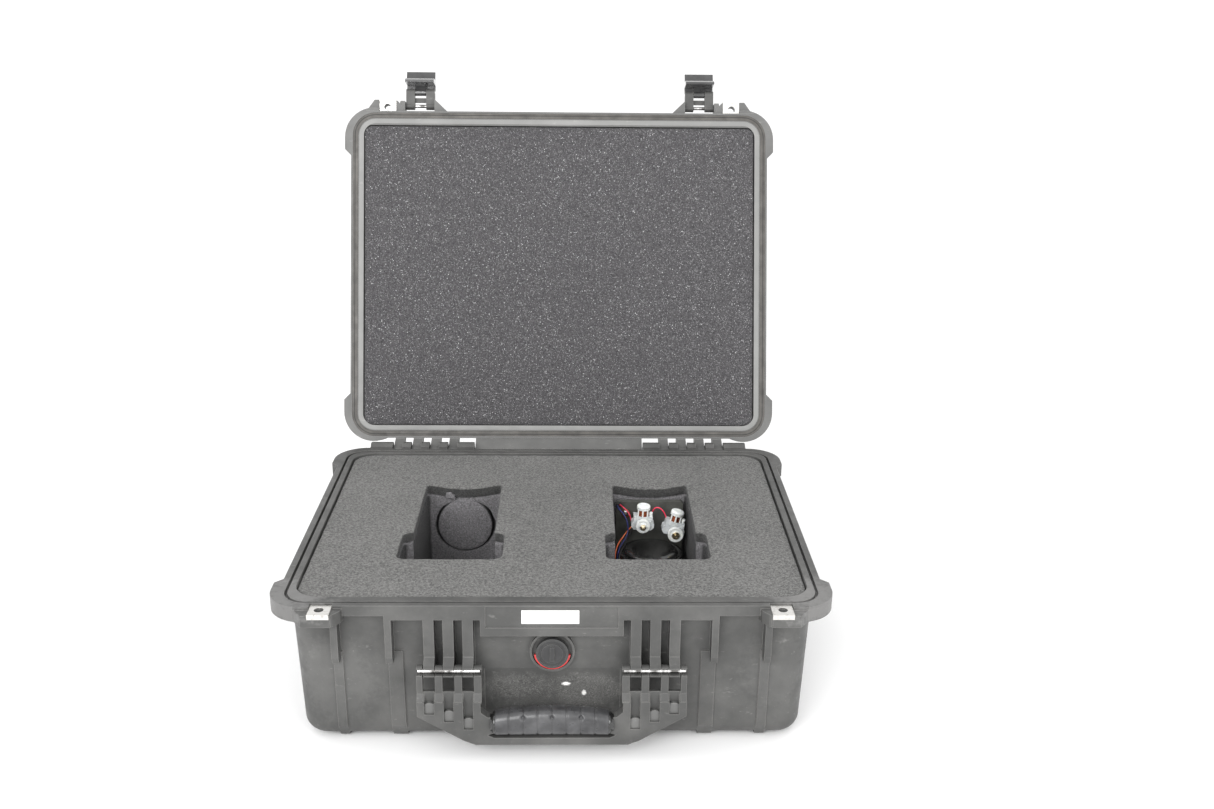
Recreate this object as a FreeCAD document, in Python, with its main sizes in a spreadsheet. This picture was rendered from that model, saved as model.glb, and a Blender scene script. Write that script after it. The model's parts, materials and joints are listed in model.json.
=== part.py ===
import FreeCAD, Part
import math
import os
import re
import Sketcher

# Hard protective equipment case, standing open: a moulded base and lid with a rubber seal, two
# latches, a folding handle, a purge valve, foam inserts, and a small camera turret in one pocket.
# Millimetres. X is to the right, Y to the back, Z up; the origin is the centre of the underside.
# The lid and latches are drawn closed, then placed as they stand with the lid leant open.

doc = FreeCAD.newDocument("equipment_case")
V = FreeCAD.Vector

SIZES = {
    # rim and shell
    "rim_wide": 510, "rim_deep": 400, "rim_round": 30, "part_plane": 154, "skirt_low": 139,
    "seam_gap": 0.15, "collar_round": 36, "collar_x": 226.5, "collar_y": 168,
    "foot_high": 3, "rest_half": 45,
    "shell_wide": 478, "shell_deep": 366, "shell_shift": 2, "shell_round": 23,
    "draft": 2.5, "floor_top": 7, "under_round": 16, "cavity_wide": 480.8,
    "cavity_deep": 368.5, "cavity_shift": 2.2, "cavity_round": 25,
    "groove_out": 6, "groove_wide": 3, "groove_deep": 5,
    # front of the base
    "front_wall": 184, "front_face": 200, "rib_inner": 147.5, "rib_outer": 197, "rib_wide": 6.5,
    "rib_low": 100, "catch_low": 143.3, "boss_front": 214.3, "boss_top": 151, "plate_thick": 1.2,
    "lock_x": 211, "lock_y": 205, "lock_hole": 8.6,
    "panel_half": 66, "panel_low": 122.5, "label_half": 26.5, "label_low": 135, "label_high": 148.6,
    # purge valve
    "valve_z": 101, "valve_boss": 21, "valve_well": 19, "valve_stem": 8, "knob_round": 15.2,
    "seal_round": 17.2, "seal_drop": 1.6, "seal_top": -4, "scoop_round": 121, "scoop_z": 52,
    # handle
    "grip_z": 89, "grip_y": 204, "lug_first": 77.5, "lug_pitch": 18, "lug_wide": 10,
    "lug_round": 6.5, "pin_half": 2.5, "slot_below": 2.4, "slot_above": 3.4, "handle_reach": 125,
    "handle_low": 16.5, "plate_front": 215, "plate_back": 206,
    # hinge
    "hinge_y": 217.8, "hinge_z": 142, "hinge_round": 8, "hinge_pin": 2.4, "open_angle": 108.8,
    "knuckle_first": 128, "knuckle_pitch": 22, "knuckle_wide": 11.4, "knuckle_gap": 0.2,
    "apron_half": 101.6,
    # lid
    "lid_skirt_top": 169, "lid_top": 203, "lid_inside": 198, "lid_rib_top": 213,
    "lid_foam_half": 239, "lid_foam_front": 182.5, "lid_foam_back": 184.5,
    "seal_out": 2.2, "seal_wide": 6.6, "seal_deep": 3,
    # latch
    "latch_x": 172, "latch_half": 17.5, "arm_y": 209, "arm_z": 169, "lever_z": 152,
    "arm_round": 4.5, "latch_pin": 2, "leg_wide": 10.5,
    # foam
    "sheet_low": 141.3, "sheet_top": 151.8, "pad_top": 21, "pocket_x": 104, "pocket_half": 41.5,
    "pocket_front": 97, "pocket_back": 93, "ear_half": 52, "ear_back": 36, "ear_floor": 118,
    "pocket_floor": 50, "plug_round": 32.5, "plug_z": 103, "plug_deep": 12,
    # payload
    "mount_back": 84, "mount_front": 79, "mount_top": 138, "mount_foot": 57, "turret_x": 104,
    "turret_y": 40, "collar_high": 83, "turret_round": 33, "dome_rim": 94.5,
    "motor_y": 45, "motor_back": 60.5, "stud_round": 4.5, "wheel_thick": 4, "shaft_round": 1.5,
    "lead_thick": 1.3,
}

sheet = doc.addObject("Spreadsheet::Sheet", "Dims")
for row, (alias, number) in enumerate(SIZES.items(), start=1):
    sheet.set(f"A{row}", alias)
    sheet.set(f"B{row}", str(number))
    sheet.setAlias(f"B{row}", alias)
doc.recompute()


def bind(text):
    """Write an expression's size names as references into the sheet."""
    return re.sub(r"[a-z_]{4,}", lambda word: "Dims." + word.group(0), str(text))


def size(text):
    """The present value of an expression of sizes."""
    return float(sheet.evalExpression(bind(text)))


def constrain(sketch, kind, *where, text):
    """Add a dimension to a sketch and bind it to the sheet."""
    index = sketch.addConstraint(Sketcher.Constraint(kind, *where, size(text)))
    sketch.setExpression(f"Constraints[{index}]", bind(text))


class Outline:
    """A closed loop that can be drawn in any sketch; its numbers are expressions of sizes."""

    def mirrored(self):
        return self


class Polygon(Outline):
    def __init__(self, *points):
        self.points = points

    def draw(self, sketch):
        first, total = sketch.GeometryCount, len(self.points)
        corners = [V(size(x), size(y), 0) for x, y in self.points]
        pairs = zip(corners, corners[1:] + corners[:1])
        sketch.addGeometry([Part.LineSegment(a, b) for a, b in pairs], False)
        sketch.addConstraint([
            Sketcher.Constraint("Coincident", first + i, 2, first + (i + 1) % total, 1)
            for i in range(total)])
        for i, (x, y) in enumerate(self.points):
            constrain(sketch, "DistanceX", -1, 1, first + i, 1, text=x)
            constrain(sketch, "DistanceY", -1, 1, first + i, 1, text=y)

    def mirrored(self):
        return Polygon(*[(f"-({x})", y) for x, y in self.points])


def box(x0, x1, y0, y1):
    return Polygon((x0, y0), (x1, y0), (x1, y1), (x0, y1))


class Disc(Outline):
    def __init__(self, x, y, radius):
        self.x, self.y, self.radius = x, y, radius

    def draw(self, sketch):
        centre = V(size(self.x), size(self.y), 0)
        index = sketch.addGeometry(Part.Circle(centre, V(0, 0, 1), size(self.radius)), False)
        constrain(sketch, "DistanceX", -1, 1, index, 3, text=self.x)
        constrain(sketch, "DistanceY", -1, 1, index, 3, text=self.y)
        constrain(sketch, "Radius", index, text=self.radius)

    def mirrored(self):
        return Disc(f"-({self.x})", self.y, self.radius)


class Rounded(Outline):
    """A rectangle with four equal round corners."""

    def __init__(self, x0, x1, y0, y1, radius):
        self.x0, self.x1, self.y0, self.y1, self.radius = x0, x1, y0, y1, radius

    def draw(self, sketch):
        a, b, c, d, r = (size(t) for t in (self.x0, self.x1, self.y0, self.y1, self.radius))
        first = sketch.GeometryCount
        sides = [((a + r, c), (b - r, c)), ((b, c + r), (b, d - r)),
                 ((b - r, d), (a + r, d)), ((a, d - r), (a, c + r))]
        centres = [(b - r, c + r), (b - r, d - r), (a + r, d - r), (a + r, c + r)]
        sketch.addGeometry([Part.LineSegment(V(*p, 0), V(*q, 0)) for p, q in sides], False)
        for i, centre in enumerate(centres):
            turn = math.radians(90 * i - 90)
            circle = Part.Circle(V(*centre, 0), V(0, 0, 1), r)
            sketch.addGeometry(Part.ArcOfCircle(circle, turn, turn + math.pi / 2), False)
        for i in range(4):
            arc, side, following = first + 4 + i, first + i, first + (i + 1) % 4
            sketch.addConstraint(Sketcher.Constraint("Tangent", side, 2, arc, 1))
            sketch.addConstraint(Sketcher.Constraint("Tangent", arc, 2, following, 1))
            sketch.addConstraint(Sketcher.Constraint(("Horizontal", "Vertical")[i % 2], side))
        for i in range(3):
            sketch.addConstraint(Sketcher.Constraint("Equal", first + 4 + i, first + 5 + i))
        constrain(sketch, "DistanceY", -1, 1, first, 1, text=self.y0)
        constrain(sketch, "DistanceX", -1, 1, first + 1, 1, text=self.x1)
        constrain(sketch, "DistanceY", -1, 1, first + 2, 1, text=self.y1)
        constrain(sketch, "DistanceX", -1, 1, first + 3, 1, text=self.x0)
        constrain(sketch, "Radius", first + 4, text=self.radius)

    def mirrored(self):
        return Rounded(f"-({self.x1})", f"-({self.x0})", self.y0, self.y1, self.radius)


def both(*outlines):
    """The outlines and their mirror images left of the middle."""
    return list(outlines) + [outline.mirrored() for outline in outlines]


PLANES = {"XY": FreeCAD.Rotation(), "XZ": FreeCAD.Rotation(V(1, 0, 0), 90),
          "YZ": FreeCAD.Rotation(V(1, 1, 1), 120)}
SUB_PARTS = []


class Fused:
    """A sub-part of many slabs: extruded sketches, joined or cut away in batches.

    Outlines on XY lie flat, between two heights. Those on XZ face the front, between two values
    of Y, and those on YZ face the side, between two values of X.
    """

    def __init__(self, label):
        self.label, self.solid, self.batch, self.kind, self.count = label, None, [], "grow", 0
        SUB_PARTS.append(self)

    def add(self, type_name, **properties):
        self.count += 1
        item = doc.addObject(type_name, f"{self.label}_{self.count}")
        for name, content in properties.items():
            setattr(item, name, content)
        return item

    def slab(self, kind, plane, low, high, outlines, taper):
        if kind != self.kind:
            self.join()
            self.kind = kind
        down = kind == "cut" and taper is not None
        sketch = self.add("Sketcher::SketchObject")
        sketch.Placement = FreeCAD.Placement(V(), PLANES[plane])
        axis = {"XY": "z", "XZ": "y", "YZ": "x"}[plane]
        start = high if plane == "XZ" or down else low
        sketch.setExpression(f"Placement.Base.{axis}", bind(start))
        for outline in outlines:
            outline.draw(sketch)
        solid = self.add("Part::Extrusion", Base=sketch, DirMode="Normal", Solid=True,
                         Reversed=down)
        solid.setExpression("LengthFwd", bind(f"({high}) - ({low})"))
        if taper is not None:
            solid.setExpression("TaperAngle", bind(taper))
        self.batch.append(solid)
        return self

    def grow(self, plane, low, high, outlines, taper=None):
        return self.slab("grow", plane, low, high, outlines, taper)

    def cut(self, plane, low, high, outlines, taper=None):
        return self.slab("cut", plane, low, high, outlines, taper)

    def join(self):
        """Apply the waiting slabs, and check that they changed the volume the right way."""
        if not self.batch:
            return self
        before = self.solid.Shape.Volume if self.solid else 0
        if self.kind == "grow":
            shapes = ([self.solid] if self.solid else []) + self.batch
            self.solid = self.fuse(shapes)
        else:
            self.solid = self.add("Part::Cut", Base=self.solid, Tool=self.fuse(self.batch))
        self.batch = []
        doc.recompute()
        change = self.solid.Shape.Volume - before
        if change == 0 or (change > 0) != (self.kind == "grow"):
            raise ValueError(f"{self.solid.Name} changed the volume by {change:.1f}")
        return self

    def fuse(self, shapes):
        return shapes[0] if len(shapes) == 1 else self.add("Part::MultiFuse", Shapes=shapes)

    def soften(self, radius, wanted):
        """Round the edges that the test picks by their bounding box."""
        self.join()
        edges = enumerate(self.solid.Shape.Edges, start=1)
        chosen = [(i, size(radius), size(radius)) for i, e in edges if wanted(e.BoundBox)]
        self.solid = self.add("Part::Fillet", Base=self.solid, Edges=chosen)
        doc.recompute()
        return self

    def place(self, placement):
        self.join()
        self.solid.Placement = placement

    def part_off(self, label, plane, low, high, outlines):
        """Move what lies inside a slab to a sub-part of its own, face to face with this one."""
        self.join()
        whole = self.solid
        self.cut(plane, low, high, outlines)
        self.join()
        other = Fused(label)
        other.solid = other.add("Part::Common", Base=whole, Tool=self.solid.Tool)
        doc.recompute()
        return other

    def finished(self):
        self.join()
        self.solid.Label = self.label
        return self.solid


class Piece:
    """One simple sub-part: a PartDesign body made of slabs, like those of Fused."""

    def __init__(self, label):
        self.body = doc.addObject("PartDesign::Body", label)
        self.body.Label = label
        self.count = 0
        SUB_PARTS.append(self)

    def sketch(self, plane, level, outlines):
        self.count += 1
        sketch = self.body.newObject("Sketcher::SketchObject", f"{self.body.Name}_s{self.count}")
        base = next(f for f in self.body.Origin.OriginFeatures if f.Role == plane + "_Plane")
        sketch.AttachmentSupport = (base, [""])
        sketch.MapMode = "FlatFace"
        sketch.setExpression("AttachmentOffset.Base.z", bind(level))
        for outline in outlines:
            outline.draw(sketch)
        return sketch

    def slab(self, kind, plane, low, high, outlines, taper=None):
        # a sketch on XZ faces -Y, so its offset is -Y and it grows or cuts from the other end
        near, far = (low, high) if kind == "Pad" else (high, low)
        level = near if plane != "XZ" else f"-({far})"
        sketch = self.sketch(plane, level, outlines)
        feature = self.body.newObject("PartDesign::" + kind, f"{self.body.Name}_f{self.count}")
        feature.Profile = sketch
        feature.setExpression("Length", bind(f"({high}) - ({low})"))
        if taper is not None:
            feature.setExpression("TaperAngle", bind(taper))
        sketch.Visibility = False
        before = 0 if feature.BaseFeature is None else feature.BaseFeature.Shape.Volume
        doc.recompute()
        change = feature.Shape.Volume - before
        if change == 0 or (change > 0) != (kind == "Pad"):
            raise ValueError(f"{feature.Name} changed the volume by {change:.1f}")
        return self

    def grow(self, plane, low, high, outlines, taper=None):
        return self.slab("Pad", plane, low, high, outlines, taper)

    def cut(self, plane, low, high, outlines, taper=None):
        return self.slab("Pocket", plane, low, high, outlines, taper)

    def soften(self, radius, wanted, kind="Fillet"):
        """Round or chamfer the edges that the test picks by their bounding box."""
        tip = self.body.Tip
        names = [f"Edge{i + 1}" for i, e in enumerate(tip.Shape.Edges) if wanted(e.BoundBox)]
        self.count += 1
        feature = self.body.newObject("PartDesign::" + kind, f"{self.body.Name}_f{self.count}")
        feature.Base = (tip, names)
        feature.setExpression("Radius" if kind == "Fillet" else "Size", bind(radius))
        doc.recompute()
        return self

    def place(self, placement):
        self.body.Placement = placement

    def finished(self):
        return self.body


class Ready:
    """A sub-part that is one document object already."""

    def __init__(self, item):
        self.item = item

    def finished(self):
        return self.item


def level_edge(height):
    """Picks edges that lie flat at one height."""
    return lambda b: b.ZLength < 0.01 and abs(b.ZMin - size(height)) < 0.01


def turn_about(y, z, degrees):
    """A turn about a line along X through y, z."""
    return FreeCAD.Placement(V(0, 0, 0), FreeCAD.Rotation(V(1, 0, 0), degrees), V(0, y, z))


LID_OPEN = turn_about(size("hinge_y"), size("hinge_z"), -size("open_angle"))
ARM_OUT = LID_OPEN * turn_about(-size("arm_y"), size("arm_z"), -90)
SIDES = (("left", -1), ("right", 1))


def rim_outline(inset, extra_round="0"):
    return Rounded(f"-rim_wide / 2 + ({inset})", f"rim_wide / 2 - ({inset})",
                   f"-rim_deep / 2 + ({inset})", f"rim_deep / 2 - ({inset})",
                   f"rim_round - ({inset}) + ({extra_round})")


def ring(inset, width):
    return [rim_outline(inset), rim_outline(f"({inset}) + ({width})")]


def corner_collars(piece, low, high):
    """The thick round bumpers on the rim's four corners, each ending in a short ramp."""
    for flip in ("", "-"):
        discs = both(Disc("collar_x", f"{flip}collar_y", "collar_round"))
        piece.grow("XY", low, high, discs)
        side, tail = "collar_x + collar_round", "collar_y - 15"
        ramp = Polygon(("rim_wide / 2 - 6", f"{flip}(collar_y)"), (side, f"{flip}(collar_y)"),
                       (side, f"{flip}({tail})"), ("rim_wide / 2", f"{flip}({tail} - 7.5)"),
                       ("rim_wide / 2 - 6", f"{flip}({tail} - 7.5)"))
        piece.grow("XY", low, high, both(ramp))


def lock_boss():
    """Plan of the padlock lug that stands out of the rim near each front corner."""
    return both(Polygon(("lock_x - 20.4", "-front_face + 3"), ("lock_x - 18.5", "-front_face - 5"),
                        ("lock_x - 13", "-boss_front + 2"), ("lock_x - 10", "-boss_front"),
                        ("lock_x + 16", "-boss_front"), ("lock_x + 24", "-front_face - 3"),
                        ("lock_x + 24", "-front_face + 3")))


def lock_hole():
    return both(Disc("lock_x", "-lock_y", "lock_hole / 2"))


def part_off_lugs(shell, label, low, high):
    """The drilled lugs stand against the shell's rim as solids of their own."""
    lugs = []
    for name, side in SIDES:
        left, right = sided(side, "lock_x - 11", "lock_x + 25")
        around = box(left, right, "-boss_front - 1", "-front_face")
        lugs.append(shell.part_off(f"{label}_{name}", "XY", low, high, [around]))
    return lugs


# ---------------------------------------------------------------- base

def base_shell():
    shell = Fused("base_shell")
    outer = Rounded("-shell_wide / 2", "shell_wide / 2", "-shell_deep / 2 + shell_shift",
                    "shell_deep / 2 + shell_shift", "shell_round")
    shell.grow("XY", "foot_high", "skirt_low", [outer], taper="draft")
    shell.soften("under_round", level_edge("foot_high"))
    shell.grow("XY", "skirt_low", "part_plane - seam_gap", [rim_outline("0")])
    corner_collars(shell, "skirt_low", "part_plane - seam_gap")
    cavity = Rounded("-cavity_wide / 2", "cavity_wide / 2", "-cavity_deep / 2 + cavity_shift",
                     "cavity_deep / 2 + cavity_shift", "cavity_round")
    shell.cut("XY", "floor_top", "part_plane - seam_gap", [cavity], taper="-draft")
    shell.soften("under_round - 3", level_edge("floor_top"))
    shell.cut("XY", "part_plane - groove_deep", "part_plane - seam_gap",
              ring("groove_out", "groove_wide"))
    front_ribs(shell)
    bands_and_feet(shell)
    handle_lugs(shell)
    valve_well(shell)
    shell.grow("XY", "skirt_low", "boss_top", lock_boss())
    shell.cut("XY", "skirt_low - 1", "boss_top + 4", lock_hole())
    shell.cut("XY", "boss_top", "part_plane",
              both(box("lock_x - 11", "lock_x + 10", "-boss_front - 1", "-lock_y + 10.4")))
    base_hinge(shell)
    pad = Rounded("-rest_half", "rest_half", "-rest_half / 2", "rest_half / 2", "6")
    shell.grow("XY", "0", "foot_high + 2", [pad])
    part_off_lugs(shell, "base_lug", "skirt_low - 1", "part_plane")


def front_ribs(shell):
    """Two deep ribs frame each latch, with the catch lip under the rim between them."""
    for inner in ("rib_inner", "rib_outer"):
        edge = f"{inner} + rib_wide"
        profile = Polygon(("-front_wall", "skirt_low + 1"), ("-front_face", "skirt_low + 1"),
                          ("-front_face", "rib_low"), ("-front_face + 4", "rib_low - 8"),
                          ("-front_wall + 1.5", "rib_low - 8"))
        shell.grow("YZ", inner, edge, [profile])
        shell.grow("YZ", f"-({edge})", f"-{inner}", [profile])
    catch = box("rib_inner + rib_wide", "rib_outer", "skirt_low - 1", "catch_low")
    shell.cut("XZ", "-front_face - 1", "-front_wall - 4.5", both(catch))


def bands_and_feet(shell):
    """Shallow bands run down the walls below the ribs and become the feet under the floor."""
    lean = "(skirt_low - rib_low) * 0.0437"
    front, back = "-shell_deep / 2 + shell_shift", "shell_deep / 2 + shell_shift"
    band = Polygon(
        (f"{front} - 7.9 + {lean} ", "rib_low"), (f"{front} - 2.4", "foot_high + 14"),
        (f"{front} + 7", "foot_high - 0.5"), (f"{front} + 12", "0"), (f"{back} - 12", "0"),
        (f"{back} - 7", "foot_high - 0.5"), (f"{back} + 2.4", "foot_high + 14"),
        (f"{back} + 7.9 - {lean}", "rib_low"), (f"{back} + 3", "rib_low"),
        (f"{back} - 3", "foot_high + 17"), (f"{back} - 17", "foot_high + 2"),
        (f"{front} + 17", "foot_high + 2"), (f"{front} + 3", "foot_high + 17"),
        (f"{front} - 3", "rib_low"))
    for middle, half in (("rib_inner - 1", "7"), ("rib_outer + 3", "4.5")):
        shell.grow("YZ", f"{middle} - {half}", f"{middle} + {half}", [band])
        shell.grow("YZ", f"-({middle} + {half})", f"-({middle} - {half})", [band])


def handle_lugs(shell):
    """Three ribs each side carry the handle pin, and a raised panel bridges them."""
    for step in range(3):
        middle = f"lug_first + {step} * lug_pitch"
        low, high = f"{middle} - lug_wide / 2", f"{middle} + lug_wide / 2"
        rib = Polygon(("-front_wall", "skirt_low + 1"), ("-front_face", "skirt_low + 1"),
                      ("-front_face", "grip_z + 12"), ("-grip_y - 3", "grip_z + 5.7"),
                      ("-grip_y", "grip_z - lug_round"), ("-front_wall", "grip_z - 13"))
        for start, end in ((low, high), (f"-({high})", f"-({low})")):
            shell.grow("YZ", start, end, [rib])
            shell.grow("YZ", start, end, [Disc("-grip_y", "grip_z", "lug_round")])
    reach = "lug_first + 2 * lug_pitch + lug_wide / 2 + 8"
    shell.cut("YZ", f"-({reach})", reach, [Disc("-grip_y", "grip_z", "pin_half + 0.05")])
    shell.cut("XZ", "-grip_y - lug_round - 1", "-grip_y",
              both(box("panel_half", reach, "grip_z - slot_below", "grip_z + slot_above")))
    shell.grow("XZ", "-front_face", "-front_wall",
               [box("-panel_half", "panel_half", "panel_low", "skirt_low + 1")])
    panel = box("-panel_half + 5", "panel_half - 5", "panel_low + 8.5", "part_plane - 1.5")
    shell.cut("XZ", "-front_face - 1", "-front_face + 1.2", [panel])
    scoop = Disc("-front_wall - scoop_round + 3", "scoop_z", "scoop_round")
    shell.cut("YZ", "-panel_half + 2", "panel_half - 2", [scoop])


def valve_well(shell):
    shell.grow("XZ", "-front_wall - 6.5", "-front_wall + 1", [Disc("0", "valve_z", "valve_boss")])
    shell.cut("XZ", "-front_wall - 7", "-front_wall - 2.6", [Disc("0", "valve_z", "valve_well")])
    shell.cut("XZ", "-front_wall - 7", "-front_wall + 6", [Disc("0", "valve_z", "valve_stem")])


def hinge_slots():
    """X ranges of the base's hinge blocks, between and outside the lid's four knuckles."""
    half = "(knuckle_wide / 2 + knuckle_gap)"
    yield "knuckle_first - 26", f"knuckle_first - {half}"
    for step in range(3):
        middle = f"knuckle_first + {step} * knuckle_pitch"
        yield f"{middle} + {half}", f"{middle} + knuckle_pitch - {half}"
    yield f"knuckle_first + 3 * knuckle_pitch + {half}", "knuckle_first + 98"


def base_hinge(shell):
    top = "part_plane - seam_gap"
    web = Polygon(("rim_deep / 2 - 4", "skirt_low"), ("rim_deep / 2 - 4", top),
                  ("rim_deep / 2 + 7", top), ("rim_deep / 2 + 11.5", "part_plane + 3"),
                  ("hinge_y + 2", "part_plane + 1.5"), ("hinge_y + 5.6", "hinge_z + 5.7"),
                  ("hinge_y - 4", "hinge_z - 6.9"), ("rim_deep / 2 - 4", "skirt_low - 8"))
    for low, high in hinge_slots():
        for start, end in ((low, high), (f"-({high})", f"-({low})")):
            shell.grow("YZ", start, end, [web])
            shell.grow("YZ", start, end, [Disc("hinge_y", "hinge_z", "hinge_round")])
    shell.cut("YZ", "-knuckle_first - 94", "knuckle_first + 94",
              [Disc("hinge_y", "hinge_z", "hinge_pin + 0.05")])


def rod(label, x0, x1, y, z, radius, placement=None):
    pin = Piece(label).grow("YZ", x0, x1, [Disc(y, z, radius)])
    if placement:
        pin.place(placement)
    return pin


def sided(side, low, high):
    """An X range on the right, or its mirror image on the left."""
    return (low, high) if side > 0 else (f"-({high})", f"-({low})")


def base_fittings():
    for name, side in SIDES:
        plate = Piece(f"padlock_plate_base_{name}")
        low, high = sided(side, "lock_x - 10.5", "lock_x + 9.5")
        flat = "boss_top + plate_thick"
        plate.grow("XY", "boss_top", flat, [box(low, high, "-boss_front - plate_thick",
                                                "-lock_y + 10")])
        plate.grow("XY", "boss_top - 3.4", "boss_top",
                   [box(low, high, "-boss_front - plate_thick", "-boss_front")])
        hole_x = "lock_x" if side > 0 else "-lock_x"
        plate.cut("XY", "boss_top - 1", "boss_top + 3", [Disc(hole_x, "-lock_y", "lock_hole / 2")])
        low, high = sided(side, "knuckle_first - 24", "knuckle_first + 94")
        rod(f"hinge_pin_{name}", low, high, "hinge_y", "hinge_z", "hinge_pin")
        low, high = sided(side, "panel_half + 0.5", "lug_first + 2 * lug_pitch + 10.5")
        rod(f"handle_pin_{name}", low, high, "-grip_y", "grip_z", "pin_half")
    label = Piece("blank_label")
    label.grow("XZ", "-front_face + 0.7", "-front_face + 1.2",
               [box("-label_half - 1.5", "label_half - 1.5", "label_low", "label_high")])


def valve():
    seat = "-front_wall - 2.6"
    body = Piece("valve_body")
    body.grow("XZ", f"{seat} - 1.4", seat, [Disc("0", "valve_z", "knob_round - 2.2")])
    body.grow("XZ", seat, "-front_wall + 6", [Disc("0", "valve_z", "valve_stem - 0.1")])
    body.cut("XZ", f"{seat} - 1.4", "-front_wall + 3", [Disc("0", "valve_z", "4.1")])
    seal = Piece("valve_seal_ring")
    seal.grow("XZ", f"{seat} - 3.2", f"{seat} - 0.2",
              [Disc("0", "valve_z - seal_drop", "seal_round"),
               Disc("0", "valve_z", "knob_round + 0.1")])
    seal.cut("XZ", f"{seat} - 3.2", f"{seat} - 0.2",
             [box("-valve_well", "valve_well", "valve_z + seal_top", "valve_z + valve_well")])
    knob = Piece("valve_knob")
    knob.grow("XZ", f"{seat} - 8", f"{seat} - 3.6", [Disc("0", "valve_z", "knob_round")])
    knob.grow("XZ", f"{seat} - 3.6", f"{seat} - 1.6", [Disc("0", "valve_z", "knob_round - 3.4")])
    knob.grow("XZ", f"{seat} - 2", "-front_wall + 2", [Disc("0", "valve_z", "4")])
    knob.cut("XZ", f"{seat} - 8", f"{seat} - 6.8",
             [Disc("0", "valve_z", "knob_round - 2"), Disc("0", "valve_z", "knob_round - 5")])
    knob.grow("XZ", f"{seat} - 9.6", f"{seat} - 7.5",
              [box("-2", "2", "valve_z - 7.5", "valve_z + 7.5")])


# ---------------------------------------------------------------- lid, drawn closed

def lid_shell():
    seam = "part_plane + seam_gap"
    lid = Fused("lid_shell")
    lid.grow("XY", seam, "lid_skirt_top", [rim_outline("0")])
    corner_collars(lid, seam, "lid_skirt_top")
    lid.grow("XY", "lid_skirt_top - 1", "lid_top", [Rounded(
        "-246", "246", "-187", "191", "30")], taper="-6")
    lid.soften("12", level_edge("lid_top"))
    cavity = Rounded("-lid_foam_half - 0.3", "lid_foam_half + 0.3", "-lid_foam_front - 0.3",
                     "lid_foam_back + 0.3", "9")
    lid.cut("XY", seam, "lid_skirt_top + 3", [cavity])
    deep = Rounded("-lid_foam_half + 4", "lid_foam_half - 4", "-lid_foam_front + 4",
                   "lid_foam_back - 4", "12")
    lid.cut("XY", "lid_skirt_top + 2", "lid_inside", [deep])
    lid.cut("XY", seam, f"{seam} + seal_deep + 0.1", ring("seal_out", "seal_wide"))
    lid_top_ribs(lid)
    lid.grow("XY", "part_plane + 3.4", "lid_skirt_top", lock_boss())
    latch_lugs(lid)
    lid.cut("XY", "part_plane + 2", "lid_skirt_top + 1", lock_hole())
    lid.cut("XY", "part_plane", "part_plane + 3.4",
            both(box("lock_x - 11", "lock_x + 10", "-boss_front - 1", "-front_face - 0.1")))
    lid_hinge(lid)
    for piece in (*part_off_lugs(lid, "lid_lug", "part_plane", "lid_skirt_top + 1"), lid):
        piece.place(LID_OPEN)


def lid_top_ribs(lid):
    """Raised rails that stand on the feet of a case stacked above, and a low middle panel."""
    for middle, half in (("rib_inner", "6.5"), ("rib_outer + 4.5", "6.5")):
        rail = Polygon(("-150", "lid_top - 2"), ("-146", "lid_rib_top"), ("150", "lid_rib_top"),
                       ("154", "lid_top - 2"))
        lid.grow("YZ", f"{middle} - {half}", f"{middle} + {half}", [rail])
        lid.grow("YZ", f"-({middle} + {half})", f"-({middle} - {half})", [rail])
    lid.grow("XY", "lid_top - 1", "lid_top + 4", [Rounded("-105", "105", "-88", "92", "14")])


def latch_lugs(lid):
    """A gusset and the end of the padlock lug hold each latch pin."""
    gusset = Polygon(("rib_inner - 10", "-front_face + 3"), ("rib_inner - 10", "-front_face"),
                     ("rib_inner + 6", "-boss_front - 1"),
                     ("latch_x - latch_half - 0.5", "-boss_front - 1"),
                     ("latch_x - latch_half - 0.5", "-front_face + 3"))
    cheek = Polygon(("latch_x + latch_half + 0.5", "-front_face + 3"),
                    ("latch_x + latch_half + 0.5", "-boss_front + 1"),
                    ("latch_x + latch_half + 6", "-boss_front + 1"),
                    ("latch_x + latch_half + 10", "-front_face + 3"))
    lid.grow("XY", "part_plane + 4", "arm_z + 6", both(gusset))
    lid.grow("XY", "part_plane + 4", "arm_z + 6", both(cheek))
    for start, end in (("rib_inner - 2", "latch_x + latch_half + 7"),
                       ("-(latch_x + latch_half + 7)", "-(rib_inner - 2)")):
        lid.cut("YZ", start, end, [Disc("-arm_y", "arm_z", "latch_pin + 0.05")])


def lid_hinge(lid):
    arm = Polygon(("rim_deep / 2 - 1.5", "part_plane + 0.5"),
                  ("rim_deep / 2 + 1", "part_plane + 0.5"),
                  ("hinge_y - 6", "hinge_z - 5"), ("hinge_y + 6", "hinge_z + 5.2"),
                  ("hinge_y - 3", "hinge_z + 17"), ("rim_deep / 2 - 1.5", "lid_skirt_top - 1"))
    for step in range(4):
        low = f"knuckle_first + {step} * knuckle_pitch - knuckle_wide / 2"
        high = f"({low}) + knuckle_wide"
        for start, end in ((low, high), (f"-({high})", f"-({low})")):
            lid.grow("YZ", start, end, [arm])
            lid.grow("YZ", start, end, [Disc("hinge_y", "hinge_z", "hinge_round")])
    apron = Polygon(("rim_deep / 2 - 1.5", "part_plane + 1"), ("rim_deep / 2 + 1", "part_plane + 1"),
                    ("hinge_y - 5", "hinge_z + 1"), ("hinge_y - 3", "hinge_z + 3"),
                    ("rim_deep / 2 + 4", "lid_skirt_top - 6"),
                    ("rim_deep / 2 - 1.5", "lid_skirt_top - 6"))
    lid.grow("YZ", "-apron_half", "apron_half", [apron])
    lid.cut("YZ", "-knuckle_first - 72", "knuckle_first + 72",
            [Disc("hinge_y", "hinge_z", "hinge_pin + 0.05")])


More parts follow.
